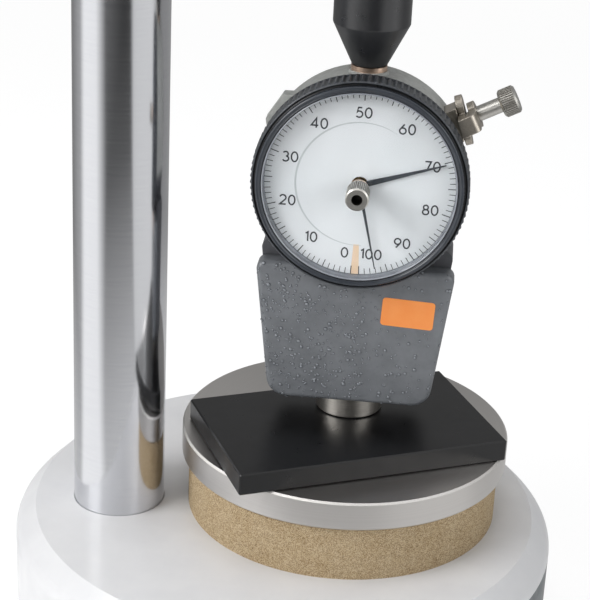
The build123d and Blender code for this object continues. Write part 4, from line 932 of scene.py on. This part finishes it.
def add_droplet(place, normal, radius):
    """A low dome of paint on the housing, its cap lighter as a painted highlight and its rim darker as painted
    shade.
    """
    side = normal.orthogonal().normalized()
    across = normal.cross(side)
    first = len(droplet_points)
    droplet_points.append(place + normal * radius * droplet_height * MM)
    for ring in droplet_rings:
        rise = droplet_height * sqrt(1 - ring**2) - droplet_sink
        for step in range(droplet_sides):
            turn = 2 * pi * step / droplet_sides
            spread = side * cos(turn) + across * sin(turn)
            droplet_points.append(place + (spread * ring + normal * rise) * radius * MM)
    for step in range(droplet_sides):
        after = (step + 1) % droplet_sides
        droplet_faces.append((first, first + 1 + step, first + 1 + after))
        droplet_rows.append(0)
        for ring in range(len(droplet_rings) - 1):
            a = first + 1 + ring * droplet_sides
            b = a + droplet_sides
            droplet_faces.append((a + step, b + step, b + after, a + after))
            droplet_rows.append(ring)


def on_label(x, height):
    """Whether a place on the housing is under the label or close to it."""
    beside = label_left - label_margin < x < label_right + label_margin
    return beside and label_bottom - label_margin < height < label_top + label_margin


placed = 0
while placed < droplet_count:
    x = chance.uniform(*housing_across)
    y = chance.uniform(*housing_upward)
    radius = chance.uniform(*droplet_radius) * (1.0 if chance.random() < large_share else small_scale)
    if chance.random() > (1.0 if x < crowded_end else sparse_share):
        continue
    place, normal, _, _ = surface.ray_cast(on_dial(x, y, housing_face + ray_start), dial_into)
    if place is None or depth_of(place) < housing_face - housing_reach:
        continue
    if normal.dot(dial_front) < housing_lean:
        continue
    placed += 1
    if not on_label(x, (place.z - foot_height) / MM):
        add_droplet(place, normal, radius)
add_mesh(
    "housing_droplets",
    droplet_points,
    droplet_faces,
    "gauge",
    ["droplet_painted_highlight", "droplet_painted_shade"],
    droplet_rows,
    smooth=True,
)

# Smooth shading on the solids, with their edges kept
for node in nodes.values():
    node.data.polygons.foreach_set("use_smooth", [True] * len(node.data.polygons))
    node.data.set_sharp_from_angle(angle=sharp_angle)

# The clear crystal throws no shadow on the dial
nodes["crystal"].visible_shadow = False


def finish_faces(node, finish, chosen):
    """Give a further finish to the faces of a solid that a test chooses."""
    mesh = nodes[node].data
    mesh.materials.append(finishes[finish])
    for face in mesh.polygons:
        if chosen(face):
            face.material_index = len(mesh.materials) - 1


knob_face = front_of("reset_knob")


def in_knob_hole(face):
    """Whether a face of the reset knob lies inside its hole."""
    below = knob_face - depth_of(face.center)
    return off_axis(face.center) < hole_radius and hole_edge < below < hole_depth


def darken_flutes(node, pivot, axis):
    """Give the flutes round a knob a darker finish as painted shade, found as upright faces inside its largest
    radius.
    """

    def reach(point):
        arm = point - pivot
        return (arm - axis * arm.dot(axis)).length / MM

    largest = max(reach(vertex.co) for vertex in nodes[node].data.vertices)

    def in_flute(face):
        upright = abs(face.normal.dot(axis)) < knurl_normal
        return upright and largest - knurl_reach < reach(face.center) < largest - knurl_edge

    finish_faces(node, "flute_painted_shade", in_flute)


def on_table_edge(face):
    """Whether a face of the table is part of the bevel round its top."""
    table_rim = (table_high.x - table_low.x) / 2
    away = hypot(face.center.x - table_axis.x, face.center.y - table_axis.y)
    outside = away > table_rim - table_edge_reach * MM
    high = face.center.z > table_high.z - table_edge_reach * MM
    return outside and high and table_edge_normals[0] < face.normal.z < table_edge_normals[1]


def on_column_end(face):
    """Whether a face of the column looks up."""
    return face.normal.z > column_end_normal


# Reset knob's hole darkened as painted shade, the flutes darkened as painted shade, the table's edge lighter as a
# painted glint, and the column's ground end
screw_place = Vector(joints["bezel_clamp_turn"]["pos_m"])
screw_axis = Vector(joints["bezel_clamp_turn"]["axis"]).normalized()
finish_faces("reset_knob", "hole_painted_shade", in_knob_hole)
darken_flutes("reset_knob", dial_centre, dial_front)
darken_flutes("thumbscrew", screw_place, screw_axis)
finish_faces("table", "edge_steel_painted_glint", on_table_edge)
finish_faces("column", "weight_steel", on_column_end)

# Corners of the clamp worn round
for name, passes in worn_passes.items():
    dense = nodes[name].modifiers.new("dense", "REMESH")
    dense.mode = "VOXEL"
    dense.voxel_size = worn_voxel * MM
    dense.use_smooth_shade = True
    worn = nodes[name].modifiers.new("worn", "SMOOTH")
    worn.factor = worn_factor
    worn.iterations = passes

# Rounded edges of the rubber block
edge = nodes["rubber_test_block"].modifiers.new("edge", "BEVEL")
edge.width = block_edge * MM
edge.segments = block_edge_segments
edge.limit_method = "ANGLE"
edge.angle_limit = block_edge_angle
edge.harden_normals = True


def studio_sectors(graph, vector):
    """What polished parts mirror, by direction: dark in front, a bright card at each side."""
    parts = graph.split(vector)
    turn = graph.maths("ARCTAN2", parts["X"], graph.maths("MULTIPLY", parts["Y"], -1.0))
    stops = [((angle + 180) / 360, value) for angle, value in sector_stops]
    return graph.ramp(graph.spread(turn, -pi, pi), *stops)


def studio_floor(graph, place):
    """What polished parts mirror of the floor: the same cards, but lighter near the stand."""
    parts = graph.split(place)
    distance = graph.length(graph.combine(X=parts["X"], Y=parts["Y"]))
    farthest = near_stops[-1][0]
    stops = [(reach / farthest, value) for reach, value in near_stops]
    nearness = graph.ramp(graph.spread(distance, 0.0, farthest * MM), *stops)
    return graph.mix(1.0, studio_sectors(graph, place), nearness, "LIGHTEN")


scene = bpy.context.scene
scene.view_settings.view_transform = "Standard"

# Floor
floor_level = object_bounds()[0][2]
floor_mesh = bpy.data.meshes.new("floor")
floor_corners = [(-1, -1), (1, -1), (1, 1), (-1, 1)]
floor_points = [(x * floor_half * MM, y * floor_half * MM, floor_level) for x, y in floor_corners]
floor_mesh.from_pydata(floor_points, [], [(0, 1, 2, 3)])
floor = bpy.data.objects.new("floor", floor_mesh)
scene.collection.objects.link(floor)

# The camera sees the floor pale near the stand and white farther off, and polished parts the pattern
floor_finish = bpy.data.materials.new("floor")
floor_finish.use_nodes = True
graph = Graph(floor_finish.node_tree)
graph.tree.nodes.remove(graph.tree.nodes["Principled BSDF"])
ray = graph.node("ShaderNodeLightPath").outputs
place = graph.node("ShaderNodeNewGeometry").outputs["Position"]
matt = graph.plain("ShaderNodeBsdfDiffuse", floor_grey)
pale = graph.blend(floor_glow_share, matt, graph.plain("ShaderNodeEmission", pure_white, floor_glow))
fade_start, fade_end = (reach * MM for reach in floor_fade)
fade = graph.spread(graph.length(place), fade_start, fade_end, curve="SMOOTHSTEP")
shown = graph.blend(fade, pale, graph.plain("ShaderNodeEmission", pure_white))
seen = graph.blend(ray["Is Camera Ray"], matt, shown)
mirrored = graph.plain("ShaderNodeEmission", studio_floor(graph, place))
whole = graph.blend(ray["Is Glossy Ray"], seen, mirrored)
graph.feed(whole, graph.tree.nodes["Material Output"].inputs["Surface"])
floor_mesh.materials.append(floor_finish)

# Surroundings: white for the camera and through the crystal, and the studio's pattern for polished parts
world = bpy.data.worlds.new("studio")
scene.world = world
world.use_nodes = True
graph = Graph(world.node_tree)
graph.tree.nodes.clear()
ray = graph.node("ShaderNodeLightPath").outputs
ambient = graph.plain("ShaderNodeBackground", ambient_tint, ambient_strength)
direction = graph.node("ShaderNodeTexCoord").outputs["Generated"]
mirrored = graph.plain("ShaderNodeBackground", studio_sectors(graph, direction))
lit = graph.blend(ray["Is Glossy Ray"], ambient, mirrored)
direct = graph.maths("MAXIMUM", ray["Is Camera Ray"], ray["Is Transmission Ray"])
whole = graph.blend(direct, lit, graph.plain("ShaderNodeBackground", pure_white))
graph.feed(whole, graph.node("ShaderNodeOutputWorld").inputs["Surface"])


def lamp(name, place, target, size, power):
    """A soft rectangular lamp, in millimetres and watts."""
    light = bpy.data.lights.new(name, "AREA")
    light.shape = "RECTANGLE"
    light.size = size[0] * MM
    light.size_y = size[1] * MM
    light.energy = power
    made = bpy.data.objects.new(name, light)
    made.location = Vector(place) * MM
    aim = (Vector(target) - Vector(place)).normalized()
    made.rotation_euler = aim.to_track_quat("-Z", "Y").to_euler()
    made.visible_camera = False
    scene.collection.objects.link(made)


lamp("key", place=(-680, -320, 560), target=(0, 0, 110), size=(460, 460), power=4.9)
lamp("front", place=(-520, -860, 240), target=(0, 0, 120), size=(560, 420), power=1.25)
lamp("fill", place=(640, -520, 480), target=(0, 0, 110), size=(480, 480), power=1.6)
lamp("top", place=(-100, 60, 1000), target=(0, 0, 60), size=(700, 700), power=4.1)
lamp("side", place=(720, -330, 260), target=(20, 0, 130), size=(60, 420), power=0.35)

# Camera
camera_data = bpy.data.cameras.new("camera")
camera = bpy.data.objects.new("camera", camera_data)
scene.collection.objects.link(camera)
scene.camera = camera
camera_data.sensor_fit = "VERTICAL"
camera_data.sensor_height = sensor_height
camera_data.lens = focal_pixels * sensor_height / picture_height
camera_data.clip_start = nearest_seen * MM
camera_data.clip_end = farthest_seen * MM
forward = cos(camera_pitch)
ahead = Vector((-sin(camera_yaw) * forward, cos(camera_yaw) * forward, -sin(camera_pitch)))
level = Vector((cos(camera_yaw), sin(camera_yaw), 0))
above = level.cross(ahead)
camera_x = level * cos(camera_roll) + above * sin(camera_roll)
camera_y = above * cos(camera_roll) - level * sin(camera_roll)
camera_turn = Matrix((camera_x, camera_y, -ahead)).transposed()
camera.matrix_world = Matrix.Translation(Vector(camera_place) * MM) @ camera_turn.to_4x4()
